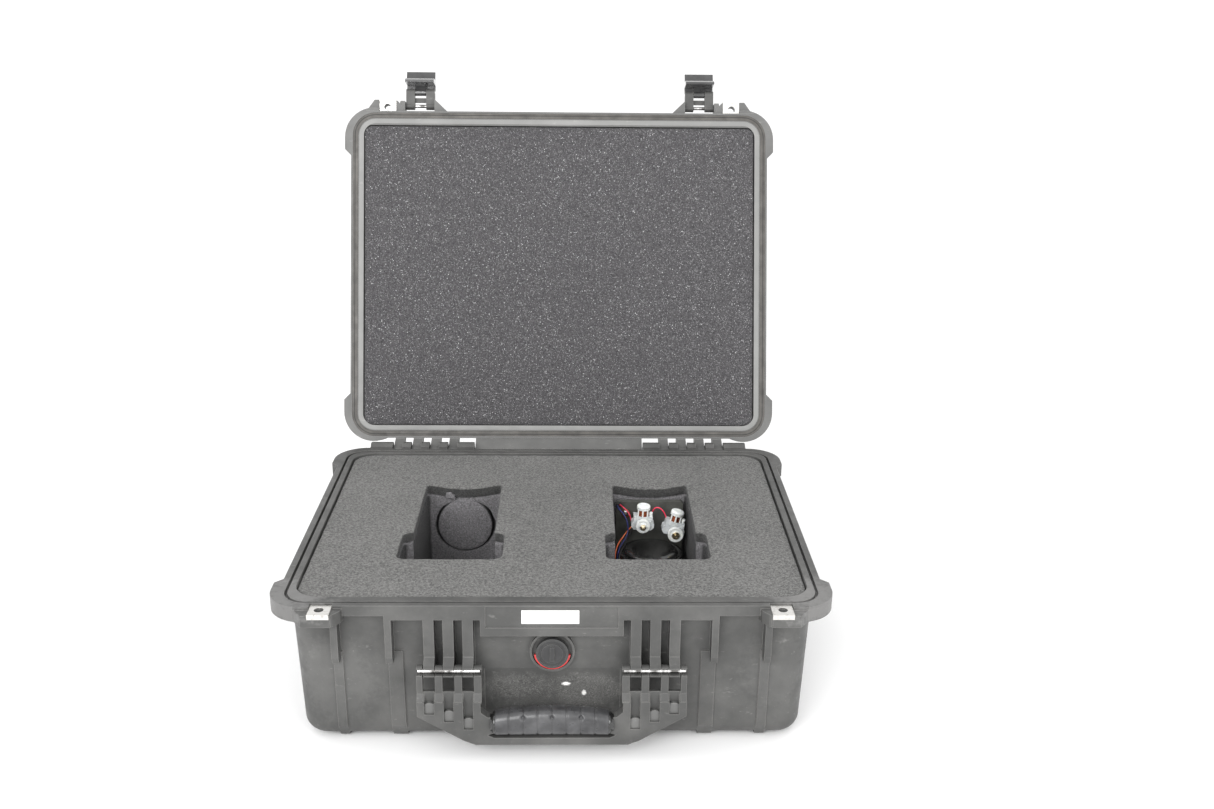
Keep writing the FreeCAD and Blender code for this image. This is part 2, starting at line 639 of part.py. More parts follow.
def lid_fittings():
    seam = "part_plane + seam_gap"
    gasket = Piece("lid_gasket")
    gasket.grow("XY", f"{seam} + 0.1", f"{seam} + seal_deep",
                ring("seal_out + 0.2", "seal_wide - 0.4"))
    gasket.place(LID_OPEN)
    foam = Piece("lid_foam")
    foam.grow("XY", "part_plane + 1.6", "lid_skirt_top + 1.8", [Rounded(
        "-lid_foam_half", "lid_foam_half", "-lid_foam_front", "lid_foam_back", "8")])
    foam.grow("XY", "lid_skirt_top + 1", "lid_inside - 0.5", [Rounded(
        "-lid_foam_half + 5", "lid_foam_half - 5", "-lid_foam_front + 5", "lid_foam_back - 5",
        "10")])
    foam.place(LID_OPEN)
    for name, side in SIDES:
        plate = Piece(f"padlock_plate_lid_{name}")
        low, high = sided(side, "lock_x - 10.5", "lock_x + 9.5")
        face = "part_plane + 3.4"
        plate.grow("XY", f"{face} - plate_thick", face,
                   [box(low, high, "-boss_front - plate_thick", "-front_face - 0.4")])
        plate.grow("XY", f"{face} - 0.1", f"{face} + 4",
                   [box(low, high, "-boss_front - plate_thick", "-boss_front")])
        hole_x = "lock_x" if side > 0 else "-lock_x"
        plate.cut("XY", f"{face} - 2", f"{face} + 1", [Disc(hole_x, "-lock_y", "lock_hole / 2")])
        plate.place(LID_OPEN)


# ---------------------------------------------------------------- latches, drawn latched

def latch(name, side):
    low, high = sided(side, "rib_inner + 1", "latch_x + latch_half + 5")
    rod(f"latch_pin_{name}", low, high, "-arm_y", "arm_z", "latch_pin", LID_OPEN)
    low, high = sided(side, "latch_x - latch_half", "latch_x + latch_half")
    rod(f"latch_lever_pin_{name}", low, high, "-arm_y", "lever_z", "latch_pin - 0.3", ARM_OUT)

    leg = Polygon(("-arm_y - 4.2", "arm_z"), ("-arm_y + 4", "arm_z"),
                  ("-arm_y + 4", "lever_z"), ("-arm_y - 4.2", "lever_z"))
    arm = Fused(f"latch_arm_{name}")
    legs = [("latch_x - latch_half", "latch_x - latch_half + leg_wide"),
            ("latch_x + latch_half - leg_wide", "latch_x + latch_half")]
    for start, end in legs:
        start, end = sided(side, start, end)
        for outline in (leg, Disc("-arm_y", "arm_z", "arm_round"),
                        Disc("-arm_y", "lever_z", "arm_round - 0.2")):
            arm.grow("YZ", start, end, [outline])
    start, end = sided(side, "latch_x - latch_half + 3", "latch_x + latch_half - 3")
    arm.grow("YZ", start, end,
             [box("-arm_y - 4.2", "-arm_y - 1.4", "lever_z + 6.5", "arm_z - 5")])
    arm.cut("YZ", low, high, [Disc("-arm_y", "arm_z", "latch_pin + 0.05")])
    arm.cut("YZ", low, high, [Disc("-arm_y", "lever_z", "latch_pin - 0.25")])

    lever = Piece(f"latch_lever_{name}")
    cap = Polygon(("-arm_y - 9", "lever_z - 3.5"), ("-arm_y - 5.8", "lever_z - 3.5"),
                  ("-arm_y - 5.8", "catch_low - 0.8"), ("-front_face + 6.5", "catch_low - 0.8"),
                  ("-front_face + 6.5", "catch_low - 3.6"), ("-front_face + 2", "catch_low - 6.2"),
                  ("-arm_y - 1", "catch_low - 7"), ("-arm_y - 3.5", "catch_low - 17.5"),
                  ("-arm_y - 7.5", "catch_low - 17.5"), ("-arm_y - 9.5", "catch_low - 10"))
    lever.grow("YZ", low, high, [cap])
    web = Polygon(("-arm_y - 8", "lever_z - 4"), ("-arm_y - 6", "lever_z + 3.2"),
                  ("-arm_y", "lever_z + 3.9"), ("-arm_y + 3.9", "lever_z"),
                  ("-arm_y + 1", "catch_low - 2"), ("-arm_y - 8", "catch_low - 2"))
    start, end = sided(side, "latch_x - latch_half + leg_wide + 0.4",
                       "latch_x + latch_half - leg_wide - 0.4")
    lever.grow("YZ", start, end, [web])
    lever.grow("YZ", start, end, [Disc("-arm_y", "lever_z", "arm_round - 0.4")])
    lever.cut("YZ", start, end, [Disc("-arm_y", "lever_z", "latch_pin - 0.25")])
    arm.place(ARM_OUT)
    lever.place(ARM_OUT)


# ---------------------------------------------------------------- handle, hanging

def handle():
    frame = Fused("handle_frame")
    reach = "handle_reach"
    outline = Polygon(
        (f"-{reach}", "62"), (f"-{reach}", "47"), ("-82", "21"), ("-71", "handle_low"),
        ("71", "handle_low"), ("82", "21"), (reach, "47"), (reach, "62"),
        ("panel_half", "62"), ("panel_half", "36"), ("60", "27"), ("54", "24"),
        ("-54", "24"), ("-60", "27"), ("-panel_half", "36"), ("-panel_half", "62"))
    frame.grow("XZ", "-plate_front", "-plate_back", [outline])
    side_view = Polygon(("-grip_y - 5.5", "grip_z"), ("-grip_y - 5.5", "68"),
                        ("-plate_front", "61"), ("-plate_back", "61"),
                        ("-grip_y - 1", "68"), ("-grip_y + 3.5", "grip_z"))
    knuckles = [("65", "72"), ("83", "90"), ("101", "108"), ("119.5", "125")]
    for low, high in knuckles:
        for start, end in ((low, high), (f"-{high}", f"-{low}")):
            frame.grow("YZ", start, end, [side_view])
            frame.grow("YZ", start, end, [Disc("-grip_y", "grip_z", "5.5")])
    web = Polygon(("-grip_y - 5.2", "70"), ("-grip_y - 5.2", "67"), ("-plate_front + 0.6", "61"),
                  ("-plate_back", "61"), ("-grip_y - 1.5", "70"))
    frame.grow("YZ", "panel_half", f"{reach} - 0.1", [web])
    frame.grow("YZ", f"-({reach} - 0.1)", "-panel_half", [web])
    for step in range(3):
        middle = f"lug_first + {step} * lug_pitch"
        slot = box(f"{middle} - 4.5", f"{middle} + 4.5", f"33 + {8 * step}", "72")
        frame.cut("XZ", "-plate_front - 1", "-plate_back - 3", both(slot))
    notch = box("57", "63.5", "31", "47")
    frame.cut("XZ", "-plate_front - 1", "-plate_back - 3", both(notch))
    neck = Polygon(("54", "29"), ("60", "27"), ("67", "35"), ("67", "52"), ("60", "46"),
                   ("54", "45"))
    frame.grow("XZ", "-plate_front", "-plate_back + 1", both(neck))
    frame.cut("YZ", "-126", "126", [Disc("-grip_y", "grip_z", "pin_half + 0.05")])
    frame.cut("XZ", "-grip_y - lug_round - 1", "-grip_y",
              both(box("64", "126", "grip_z - slot_below", "grip_z + slot_above")))

    grip = Piece("handle_grip")
    crown = Polygon(("-53.9", "27.5"), ("53.9", "27.5"), ("53.9", "49"), ("40", "52.5"),
                    ("20", "54.6"), ("-20", "54.6"), ("-40", "52.5"), ("-53.9", "49"))
    grip.grow("XZ", "-plate_front - 6.5", "-plate_back + 6", [crown])
    grip.soften("7.5", lambda b: b.YLength < 0.01 and b.XLength > 5)


# ---------------------------------------------------------------- foam

def pocket():
    low, high = "pocket_x - pocket_half", "pocket_x + pocket_half"
    return both(box(low, high, "-pocket_front", "pocket_back"))


def ears():
    low, high = "pocket_x - ear_half", "pocket_x + ear_half"
    return both(Rounded(low, high, "-pocket_front", "-ear_back", "8"))


def foam_outline(height, gap):
    """The cavity's plan at a height, a little smaller."""
    inset = f"((part_plane - ({height})) * 0.0437 + {gap})"
    half, deep = f"cavity_wide / 2 - {inset}", f"cavity_deep / 2 - {inset}"
    return Rounded(f"-({half})", half, f"-({deep}) + cavity_shift", f"({deep}) + cavity_shift",
                   f"cavity_round - {inset}")


def foam():
    top = Piece("foam_top_sheet")
    top.grow("XY", "sheet_low", "sheet_top", [foam_outline("sheet_low", "0.4")])
    top.cut("XY", "sheet_low", "sheet_top", pocket())
    top.cut("XY", "sheet_low", "sheet_top", ears())
    block = Piece("foam_block")
    block.grow("XY", "pad_top + 0.2", "sheet_low - 0.3", [foam_outline("pad_top", "0.5")])
    block.cut("XY", "pocket_floor", "sheet_low", pocket())
    block.cut("XY", "ear_floor", "sheet_low", ears())
    block.cut("XZ", "pocket_back - 1", "pocket_back + plug_deep",
              [Disc("-pocket_x", "plug_z", "plug_round + 0.4")])
    plug = Piece("foam_plug")
    plug.grow("XZ", "pocket_back - 1.5", "pocket_back + plug_deep - 0.3",
              [Disc("-pocket_x", "plug_z", "plug_round")])
    floor_pad = Piece("foam_floor_pad")
    floor_pad.grow("XY", "floor_top + 0.2", "pad_top", [foam_outline("floor_top", "14")])


# ---------------------------------------------------------------- payload

def payload():
    stand = "pocket_floor + 0.3"
    bracket = Piece("payload_bracket")
    low, high = "pocket_x - 37.5", "pocket_x + 37.5"
    bracket.grow("XZ", "mount_front", "mount_back", [Rounded(low, high, stand, "mount_top", "4")])
    bracket.grow("XY", stand, "mount_foot", [box(low, high, "turret_y - 37", "mount_back - 1")])
    holes = [Disc("pocket_x - 26.5", "125", "1.6"), Disc("pocket_x + 33", "125", "1.6")]
    bracket.cut("XZ", "mount_front - 1", "mount_back + 1", holes)
    studs = [Disc("95.3", "125", "stud_round"), Disc("129.9", "120", "stud_round")]
    bracket.grow("XZ", "motor_back + 0.05", "mount_front + 1", studs)
    clip = box("83.5", "88.5", "113", "118.5")
    bracket.grow("XZ", "motor_back + 1", "mount_front + 1", [clip])

    screws = doc.addObject("Part::Compound", "payload_screws")
    screws.Label = "payload_screws"
    links = []
    for x in ("pocket_x - 26.5", "pocket_x + 33"):
        head = doc.addObject("Part::Cylinder", "screw_head")
        head.Radius, head.Height = 3.4, 2.6
        shank = doc.addObject("Part::Cylinder", "screw_shank")
        shank.Radius, shank.Height = 1.5, 4.8
        for piece, start in ((head, "-(mount_front)"), (shank, "-(mount_front + 4.8)")):
            piece.Placement = FreeCAD.Placement(V(), FreeCAD.Rotation(V(1, 0, 0), 90))
            piece.setExpression("Placement.Base.x", bind(x))
            piece.setExpression("Placement.Base.y", bind(f"-({start})"))
            piece.setExpression("Placement.Base.z", "125")
        screw = doc.addObject("Part::Fuse", "screw")
        screw.Base, screw.Tool = head, shank
        links.append(screw)
    screws.Links = links
    SUB_PARTS.append(Ready(screws))

    collar = Piece("turret_collar")
    collar.grow("XY", "mount_foot", "collar_high", [Disc("turret_x", "turret_y", "36")])
    collar.cut("XY", "mount_foot + 6", "collar_high", [Disc("turret_x", "turret_y", "33.5")])
    dome = Piece("turret_dome")
    dome.grow("XY", "mount_foot + 6.2", "dome_rim", [Disc("turret_x", "turret_y", "turret_round")])
    dome.grow("XY", "dome_rim - 3", "dome_rim", [Disc("turret_x", "turret_y", "35")])
    dome.soften("1", level_edge("dome_rim"))
    dome.grow("XY", "dome_rim - 1", "dome_rim + 3", [Disc("turret_x", "turret_y", "29")])
    dome.soften("2.6", level_edge("dome_rim + 3"))


def motor(name, x, z, tilt, wheel_round, aside, lift):
    """A small gear motor: gearbox with ears, winding, round cap, and a wheel on its shaft.

    The gearbox stands a little aside from the shaft and above it.
    """
    where = FreeCAD.Placement(V(x, 0, z), FreeCAD.Rotation(V(0, 1, 0), tilt))
    back = "motor_y + wheel_thick / 2"
    box_front = f"{back} + 1.5"
    half_outline = (("9.5", "-6.3"), ("12.5", "-3"), ("12.5", "1"), ("10.5", "3"), ("10.5", "9.3"))
    outline = [(f"{aside} + {u}", f"{lift} + {v}") for u, v in half_outline]
    outline += [(f"{aside} - {u}", f"{lift} + {v}") for u, v in reversed(half_outline)]
    gearbox = Piece(f"motor_gearbox_{name}")
    gearbox.grow("XZ", box_front, "motor_back", [Polygon(*outline)])
    gearbox.grow("XZ", f"{box_front} - 0.6", "motor_back", [Disc("0", "0", "3.6")])
    gearbox.cut("XZ", f"{box_front} - 1", "motor_back - 2", [Disc("0", "0", "shaft_round + 0.05")])
    middle = f"({box_front} + motor_back) / 2"
    winding = Piece(f"motor_winding_{name}")
    winding.grow("XY", f"{lift} + 9.4", f"{lift} + 16.4", [Disc(aside, middle, "6.4")])
    cap = Piece(f"motor_cap_{name}")
    cap.grow("XY", f"{lift} + 16.5", f"{lift} + 21.7", [Disc(aside, middle, "7.4")])
    cap.soften("2.4", level_edge(f"{lift} + 21.7"))
    shaft = Piece(f"motor_shaft_{name}")
    shaft.grow("XZ", "motor_y - wheel_thick / 2 - 4", "motor_back - 2.2",
               [Disc("0", "0", "shaft_round")])
    wheel = Piece(f"motor_wheel_{name}")
    wheel.grow("XZ", "motor_y - wheel_thick / 2", back, [Disc("0", "0", wheel_round)])
    wheel.grow("XZ", "motor_y - wheel_thick / 2 - 1.6", "motor_y", [Disc("0", "0", "3.9")])
    wheel.cut("XZ", "motor_y - 6", "motor_y + 6", [Disc("0", "0", "shaft_round")])
    for piece in (gearbox, winding, cap, shaft, wheel):
        piece.place(where)


def lead(label, points, thick):
    """A thin wire along straight runs joined by the largest tangent arcs that fit."""
    points = [V(*p) for p in points]
    radii, edges, start = [], [], points[0]
    for before, corner, after in zip(points, points[1:], points[2:]):
        one, two = before - corner, after - corner
        turn = math.pi - one.getAngle(two)
        radius = 0.45 * min(one.Length, two.Length) / math.tan(turn / 2)
        reach = radius * math.tan(turn / 2)
        one.normalize()
        two.normalize()
        first, last = corner + one * reach, corner + two * reach
        middle = (one + two).normalize()
        centre = corner + middle * math.hypot(radius, reach)
        arc_middle = centre - middle * radius
        edges += [Part.LineSegment(start, first).toShape(),
                  Part.Arc(first, arc_middle, last).toShape()]
        radii.append(radius)
        start = last
    edges.append(Part.LineSegment(start, points[-1]).toShape())
    path = Part.Wire(edges)
    ring_edge = Part.Circle(points[0], points[1] - points[0], thick / 2).toShape()
    tube = path.makePipeShell([Part.Wire([ring_edge])], True, False)
    expected = math.pi * thick ** 2 / 4 * path.Length
    if abs(tube.Volume - expected) > 0.02 * expected:
        raise ValueError(f"{label} has volume {tube.Volume:.1f}, not {expected:.1f}")
    feature = doc.addObject("Part::Feature", label)
    feature.Label = label
    feature.Shape = tube
    SUB_PARTS.append(Ready(feature))
    print(f"{label}: {path.Length:.0f} mm long, tightest arc {min(radii):.1f} mm")


def leads():
    """Five thin wires: two come from a plug on the bracket, three run down to a loose socket."""
    plug = Piece("lead_plug")
    plug.grow("XY", "mount_top - 5", "mount_top - 0.5", [box("65.5", "72", "74", "mount_front")])
    socket = Piece("lead_socket")
    socket.grow("XY", "pocket_floor + 0.3", "pocket_floor + 5.8", [box("90", "103", "-28", "-16")])
    thick = size("lead_thick")
    lead("lead_red", [(70.4, 74.4, 136), (72.5, 68.5, 136.5), (78, 63.5, 133.5), (81.8, 61.3, 128),
                      (82.6, 60, 121.5), (86.8, 57.5, 119.5)], thick)
    lead("lead_blue", [(67.4, 74.4, 135), (69, 68, 133.5), (75, 63, 129), (79.2, 59, 120),
                       (79.4, 55.5, 110.5), (74.8, 50, 103), (68.4, 43.5, 96), (66.4, 32, 84.5),
                       (66.4, 20, 72.5), (66.8, 9, 63), (68.3, -1, 56.6), (73, -8.5, 52),
                       (81, -14, 51.3), (91, -17.6, 52.3)], thick)
    lead("lead_orange", [(85, 63, 116), (80, 60.5, 112), (73.5, 55.5, 105), (67, 48, 98.5),
                         (64.2, 38, 89), (63.9, 25, 76.5), (63.9, 12, 65), (65.5, 0, 57),
                         (70, -10, 53), (79, -17.6, 52.4), (91, -20.8, 53.6)], thick)
    lead("lead_black", [(86, 66.5, 116), (82.5, 62, 108), (79, 54, 102.5), (74, 41, 100),
                        (69, 27, 97.5), (67.4, 14, 88), (66.2, 2, 75.5), (66.6, -9, 63),
                        (71, -18.5, 54), (80, -23.8, 51.6), (91, -24.8, 52.4)], thick)
    lead("lead_link", [(104.5, 60, 128), (105.5, 60, 134), (109.5, 59.5, 139.5),
                       (115.5, 58.5, 138.5), (120, 58, 132), (121.8, 57.7, 126),
                       (122, 57.5, 121.5)], thick)


def check_and_write():
    finished = [part.finished() for part in SUB_PARTS]
    doc.recompute()
    for item in doc.Objects:
        if "Invalid" in item.State or "Error" in item.State:
            raise RuntimeError(f"{item.Name} failed: {item.State}")
    os.makedirs("parts", exist_ok=True)
    for item in finished:
        shape = item.Shape
        if shape.isNull() or not shape.isValid() or not shape.Solids:
            raise RuntimeError(f"{item.Label} has no valid solid")
        shape.exportStep(f"parts/{item.Label}.step")


base_shell()
base_fittings()
valve()
lid_shell()
lid_fittings()
for which, hand in SIDES:
    latch(which, hand)
handle()
foam()
payload()
motor("left", x=95, z=123, tilt=3, wheel_round=7.9, aside="0", lift="0")
motor("right", x=131.2, z=113, tilt=14, wheel_round=8.7, aside="-3", lift="3")
leads()
check_and_write()
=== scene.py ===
import bpy
import json
import math
import numpy as np
from mathutils import Matrix, Vector, noise


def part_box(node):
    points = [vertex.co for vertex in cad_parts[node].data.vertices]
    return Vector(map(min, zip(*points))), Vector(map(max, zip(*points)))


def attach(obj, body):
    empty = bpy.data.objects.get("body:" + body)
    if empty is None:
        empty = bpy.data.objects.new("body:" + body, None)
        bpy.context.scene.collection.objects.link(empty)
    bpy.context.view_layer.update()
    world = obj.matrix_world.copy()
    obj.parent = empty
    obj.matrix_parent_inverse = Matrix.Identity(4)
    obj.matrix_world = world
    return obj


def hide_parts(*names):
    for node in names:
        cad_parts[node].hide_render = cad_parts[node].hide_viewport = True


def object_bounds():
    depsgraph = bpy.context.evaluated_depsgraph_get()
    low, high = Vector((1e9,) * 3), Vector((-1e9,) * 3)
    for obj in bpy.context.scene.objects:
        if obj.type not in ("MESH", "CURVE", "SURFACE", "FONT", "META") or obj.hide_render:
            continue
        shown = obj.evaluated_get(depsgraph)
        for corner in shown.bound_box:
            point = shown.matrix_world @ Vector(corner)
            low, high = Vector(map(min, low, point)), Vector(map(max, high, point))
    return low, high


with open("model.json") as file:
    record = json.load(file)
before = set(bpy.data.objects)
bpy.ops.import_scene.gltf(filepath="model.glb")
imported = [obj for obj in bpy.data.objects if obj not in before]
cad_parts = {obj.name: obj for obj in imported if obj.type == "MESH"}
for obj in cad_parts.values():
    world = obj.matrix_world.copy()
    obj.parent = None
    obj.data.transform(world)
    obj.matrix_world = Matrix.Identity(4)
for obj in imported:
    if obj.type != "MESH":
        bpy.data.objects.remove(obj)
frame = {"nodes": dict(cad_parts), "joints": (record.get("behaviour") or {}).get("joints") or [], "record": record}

# A hard equipment case standing open, with cut foam, a folded handle and a small camera turret in
# its right-hand pocket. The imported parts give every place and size; metres throughout.

MM = 0.001
cad_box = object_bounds()
nodes = frame["nodes"]
record = frame["record"]
joints = {joint["name"]: joint for joint in frame["joints"]}
SIDES = ("left", "right")


# ---------------------------------------------------------------- materials

class Recipe:
    """A procedural material under construction: a principled shader and short ways to feed it."""

    def __init__(self, name, rough, metallic=0.0, specular=0.5, coat=0.0, sheen=0.0, through=0.0):
        self.material = bpy.data.materials.new(name)
        self.material.use_nodes = True
        self.tree = self.material.node_tree
        self.shader = self.tree.nodes["Principled BSDF"]
        self.set("Roughness", rough)
        self.set("Metallic", metallic)
        self.set("Specular IOR Level", specular)
        self.set("Coat Weight", coat)
        self.set("Sheen Weight", sheen)
        self.set("Subsurface Weight", through)
        self.place = self.add("ShaderNodeTexCoord").outputs["Object"]

    def set(self, socket, value):
        self.shader.inputs[socket].default_value = value

    def add(self, kind, **properties):
        node = self.tree.nodes.new(kind)
        for name, value in properties.items():
            setattr(node, name, value)
        return node

    def link(self, output, socket):
        self.tree.links.new(output, socket)

    def stretched(self, x, y, z):
        """The place on the object, scaled unevenly, for streaks and grain."""
        mapping = self.add("ShaderNodeMapping")
        mapping.inputs["Scale"].default_value = (x, y, z)
        self.link(self.place, mapping.inputs["Vector"])
        return mapping.outputs["Vector"]

    def noise(self, scale, detail=2.0, rough=0.5, place=None):
        node = self.add("ShaderNodeTexNoise")
        node.inputs["Scale"].default_value = scale
        node.inputs["Detail"].default_value = detail
        node.inputs["Roughness"].default_value = rough
        self.link(place or self.place, node.inputs["Vector"])
        return node.outputs["Fac"]

    def cells(self, scale, feature="F1"):
        node = self.add("ShaderNodeTexVoronoi", feature=feature)
        node.inputs["Scale"].default_value = scale
        self.link(self.place, node.inputs["Vector"])
        return node

    def cell_value(self, cells):
        """A random number for each cell."""
        split = self.add("ShaderNodeSeparateColor")
        self.link(cells.outputs["Color"], split.inputs["Color"])
        return split.outputs["Red"]

    def spot(self, centre, reach, ragged):
        """One at the centre and nought outside the reach, with an uneven edge; sizes in mm."""
        mapping = self.add("ShaderNodeMapping")
        mapping.inputs["Location"].default_value = [-c / r for c, r in zip(centre, reach)]
        mapping.inputs["Scale"].default_value = [1 / (r * MM) for r in reach]
        self.link(self.place, mapping.inputs["Vector"])
        length = self.add("ShaderNodeVectorMath", operation="LENGTH")
        self.link(mapping.outputs["Vector"], length.inputs[0])
        uneven = self.math("MULTIPLY", self.noise(2 / (min(reach) * MM), 4, 0.7), ragged)
        return self.ramp(self.math("ADD", length.outputs["Value"], uneven), 1.1 + ragged / 2,
                         0.7 + ragged / 2)

    def facing(self, axis, low, high):
        """How squarely a face looks along the axis: nought at the low share, one at the high."""
        geometry = self.add("ShaderNodeNewGeometry")
        split = self.add("ShaderNodeSeparateXYZ")
        self.link(geometry.outputs["Normal"], split.inputs["Vector"])
        return self.ramp(self.math("ABSOLUTE", split.outputs[axis], 0.0), low, high)

    def ramp(self, factor, low, high, start=0.0, end=1.0):
        """The factor stretched so that low becomes start and high becomes end."""
        node = self.add("ShaderNodeMapRange")
        for name, value in (("From Min", low), ("From Max", high), ("To Min", start),
                            ("To Max", end)):
            node.inputs[name].default_value = value
        self.link(factor, node.inputs["Value"])
        return node.outputs["Result"]

    def math(self, operation, a, b):
        node = self.add("ShaderNodeMath", operation=operation)
        for value, socket in zip((a, b), node.inputs):
            if isinstance(value, (int, float)):
                socket.default_value = value
            else:
                self.link(value, socket)
        return node.outputs["Value"]

    def mix(self, factor, a, b):
        node = self.add("ShaderNodeMix", data_type="RGBA")
        self.link(factor, node.inputs["Factor"])
        for value, socket in ((a, node.inputs["A"]), (b, node.inputs["B"])):
            if isinstance(value, tuple):
                socket.default_value = (*value, 1.0)
            else:
                self.link(value, socket)
        return node.outputs["Result"]

    def bump(self, height, depth, under=None):
        node = self.add("ShaderNodeBump")
        node.inputs["Strength"].default_value = 1.0
        node.inputs["Distance"].default_value = depth
        self.link(height, node.inputs["Height"])
        if under is not None:
            self.link(under, node.inputs["Normal"])
        return node.outputs["Normal"]

    def soft_edges(self, radius):
        """Normals that round every edge, and a mask of where the edges are."""
        bevel = self.add("ShaderNodeBevel", samples=4)
        bevel.inputs["Radius"].default_value = radius
        flat = self.add("ShaderNodeNewGeometry")
        dot = self.add("ShaderNodeVectorMath", operation="DOT_PRODUCT")
        self.link(bevel.outputs["Normal"], dot.inputs[0])
        self.link(flat.outputs["Normal"], dot.inputs[1])
        return bevel.outputs["Normal"], self.ramp(dot.outputs["Value"], 0.995, 0.86)

    def finish(self, colour, rough=None, normal=None):
        self.link(colour, self.shader.inputs["Base Color"])
        if rough is not None:
            self.link(rough, self.shader.inputs["Roughness"])
        if normal is not None:
            self.link(normal, self.shader.inputs["Normal"])
        return self.material


def moulded_plastic(name, dark, light, grain=0.00006, worn=0.5, marks=()):
    """Moulded structural plastic: fine grain, dusty patches, scuffs, and edges made lighter, partly as rubbed wear
    and partly as a painted highlight.

    The marks are worn patches, dust, chips, painted shade and painted light; each gives its centre and reach in
    millimetres, its strength, its tone, and whether fine specks break it up.
    """
    it = Recipe(name, 0.5, specular=0.42)
    rounded, edge = it.soft_edges(0.0011)
    patches = it.ramp(it.noise(16, 5, 0.62), 0.42, 0.72)
    scuffs = it.ramp(it.noise(1, 6, 0.7, it.stretched(60, 320, 140)), 0.62, 0.74)
    specks = it.ramp(it.noise(520, 2), 0.68, 0.76)
    wear = it.math("MULTIPLY", it.math("MAXIMUM", scuffs, it.math("MULTIPLY", specks, patches)), worn)
    # edges lighter: partly rubbed wear, partly a painted highlight along every edge
    edges = it.math("MULTIPLY", edge, 0.55)
    amount = it.math("ADD", it.math("MULTIPLY", patches, 0.22), it.math("MAXIMUM", wear, edges))
    colour = it.mix(amount, dark, light)
    broken = it.ramp(it.noise(1500, 5, 0.85), 0.50, 0.62) if marks else None
    for centre, reach, strength, tone, speckled in marks:
        mark = it.math("MULTIPLY", it.spot(centre, reach, 1.3), strength)
        if speckled:
            mark = it.math("MULTIPLY", mark, broken)
        colour = it.mix(mark, colour, tone)
    rough = it.ramp(it.noise(90, 4), 0.3, 0.7, 0.40, 0.58)
    grainy = it.bump(it.noise(1500, 3, 0.6), grain, rounded)
    return it.finish(colour, rough, it.bump(it.noise(70, 4), 0.00012, grainy))


def brushed(name, dark, light, rough_low, rough_high, lines=(30, 2200, 30)):
    """Metal with fine lines and small stains."""
    it = Recipe(name, 0.3, metallic=1.0)
    grain = it.noise(1, 3, 0.6, it.stretched(*lines))
    stains = it.ramp(it.noise(240, 3), 0.45, 0.75)
    colour = it.mix(it.math("MAXIMUM", stains, it.math("MULTIPLY", grain, 0.6)), light, dark)
    rounded, _ = it.soft_edges(0.0004)
    return it.finish(colour, it.ramp(grain, 0.3, 0.7, rough_low, rough_high),
                     it.bump(grain, 0.00002, rounded))


def fine_foam(name, dark, light):
    """Fine open-cell foam: pinholes with a faint drift of tone, and cut walls darkened with painted shade."""
    it = Recipe(name, 0.95, specular=0.12, sheen=0.2)
    it.set("Sheen Roughness", 0.6)
    pores = it.cells(1100)
    mottled = it.noise(430, 5, 0.85)
    drift = it.ramp(it.noise(9, 3), 0.3, 0.7, 0.0, 0.2)
    tone = it.math("ADD", it.ramp(mottled, 0.41, 0.59, -0.05, 0.95), drift)
    colour = it.mix(tone, dark, light)
    # painted shade: faces that do not look upwards are darkened towards near-black
    colour = it.mix(it.math("MULTIPLY", it.facing("Z", 0.75, 0.35), 0.8), colour, (0.02, 0.02, 0.02))
    pits = it.math("ADD", it.ramp(pores.outputs["Distance"], 0.0, 0.6), it.math("MULTIPLY", mottled, 1.4))
    rough = it.ramp(mottled, 0.3, 0.7, 0.9, 1.0)
    return it.finish(colour, rough, it.bump(pits, 0.0008))


def coarse_foam(name, dark, light, glint_tone, bright_share, side_shade=0.0):
    """Coarse foam with painted highlights: small facets of the cut cell walls are painted in a bright tone as
    glints, a few of them bright and more of them faint.

    The side shade darkens the walls that face along X, down in a narrow pocket.
    """
    it = Recipe(name, 0.9, specular=0.25, sheen=0.15)
    pores = it.cells(800)
    blotches = it.noise(560, 5, 0.85)
    colour = it.mix(it.ramp(blotches, 0.36, 0.64), dark, light)
    # painted highlight: faint glints on some cells
    dim = it.cells(880)
    glow = it.math("MULTIPLY", it.ramp(it.cell_value(dim), 0.72, 0.80),
                   it.ramp(dim.outputs["Distance"], 0.50, 0.20))
    colour = it.mix(it.math("MULTIPLY", glow, 0.42), colour, glint_tone)
    # painted highlight: a few facets painted bright as glints
    facets = it.cells(640)
    glint = it.math("MULTIPLY", it.ramp(it.cell_value(facets), 1 - bright_share, 1.02 - bright_share),
                    it.ramp(facets.outputs["Distance"], 0.40, 0.22))
    colour = it.mix(glint, colour, glint_tone)
    if side_shade:
        shade = it.math("MULTIPLY", it.facing("X", 0.4, 0.8), side_shade)
        colour = it.mix(shade, colour, (0.006, 0.006, 0.006))
    pits = it.math("ADD", it.ramp(pores.outputs["Distance"], 0.0, 0.7), it.math("MULTIPLY", blotches, 1.8))
    rough = it.ramp(glint, 0.0, 1.0, 0.95, 0.35)
    return it.finish(colour, rough, it.bump(pits, 0.0011))


def rubber(name, dark, light, rough_low, rough_high, coat=0.0, grain=0.00004, edge=0.0006):
    """Rubber or soft plastic with a faint bloom and fine grain."""
    it = Recipe(name, 0.6, specular=0.5, coat=coat)
    it.set("Coat Roughness", 0.12)
    bloom = it.noise(60, 4, 0.6)
    colour = it.mix(it.ramp(bloom, 0.35, 0.7), dark, light)
    rounded, _ = it.soft_edges(edge)
    rough = it.ramp(it.noise(180, 3), 0.3, 0.7, rough_low, rough_high)
    return it.finish(colour, rough, it.bump(it.noise(1300, 3), grain, rounded))


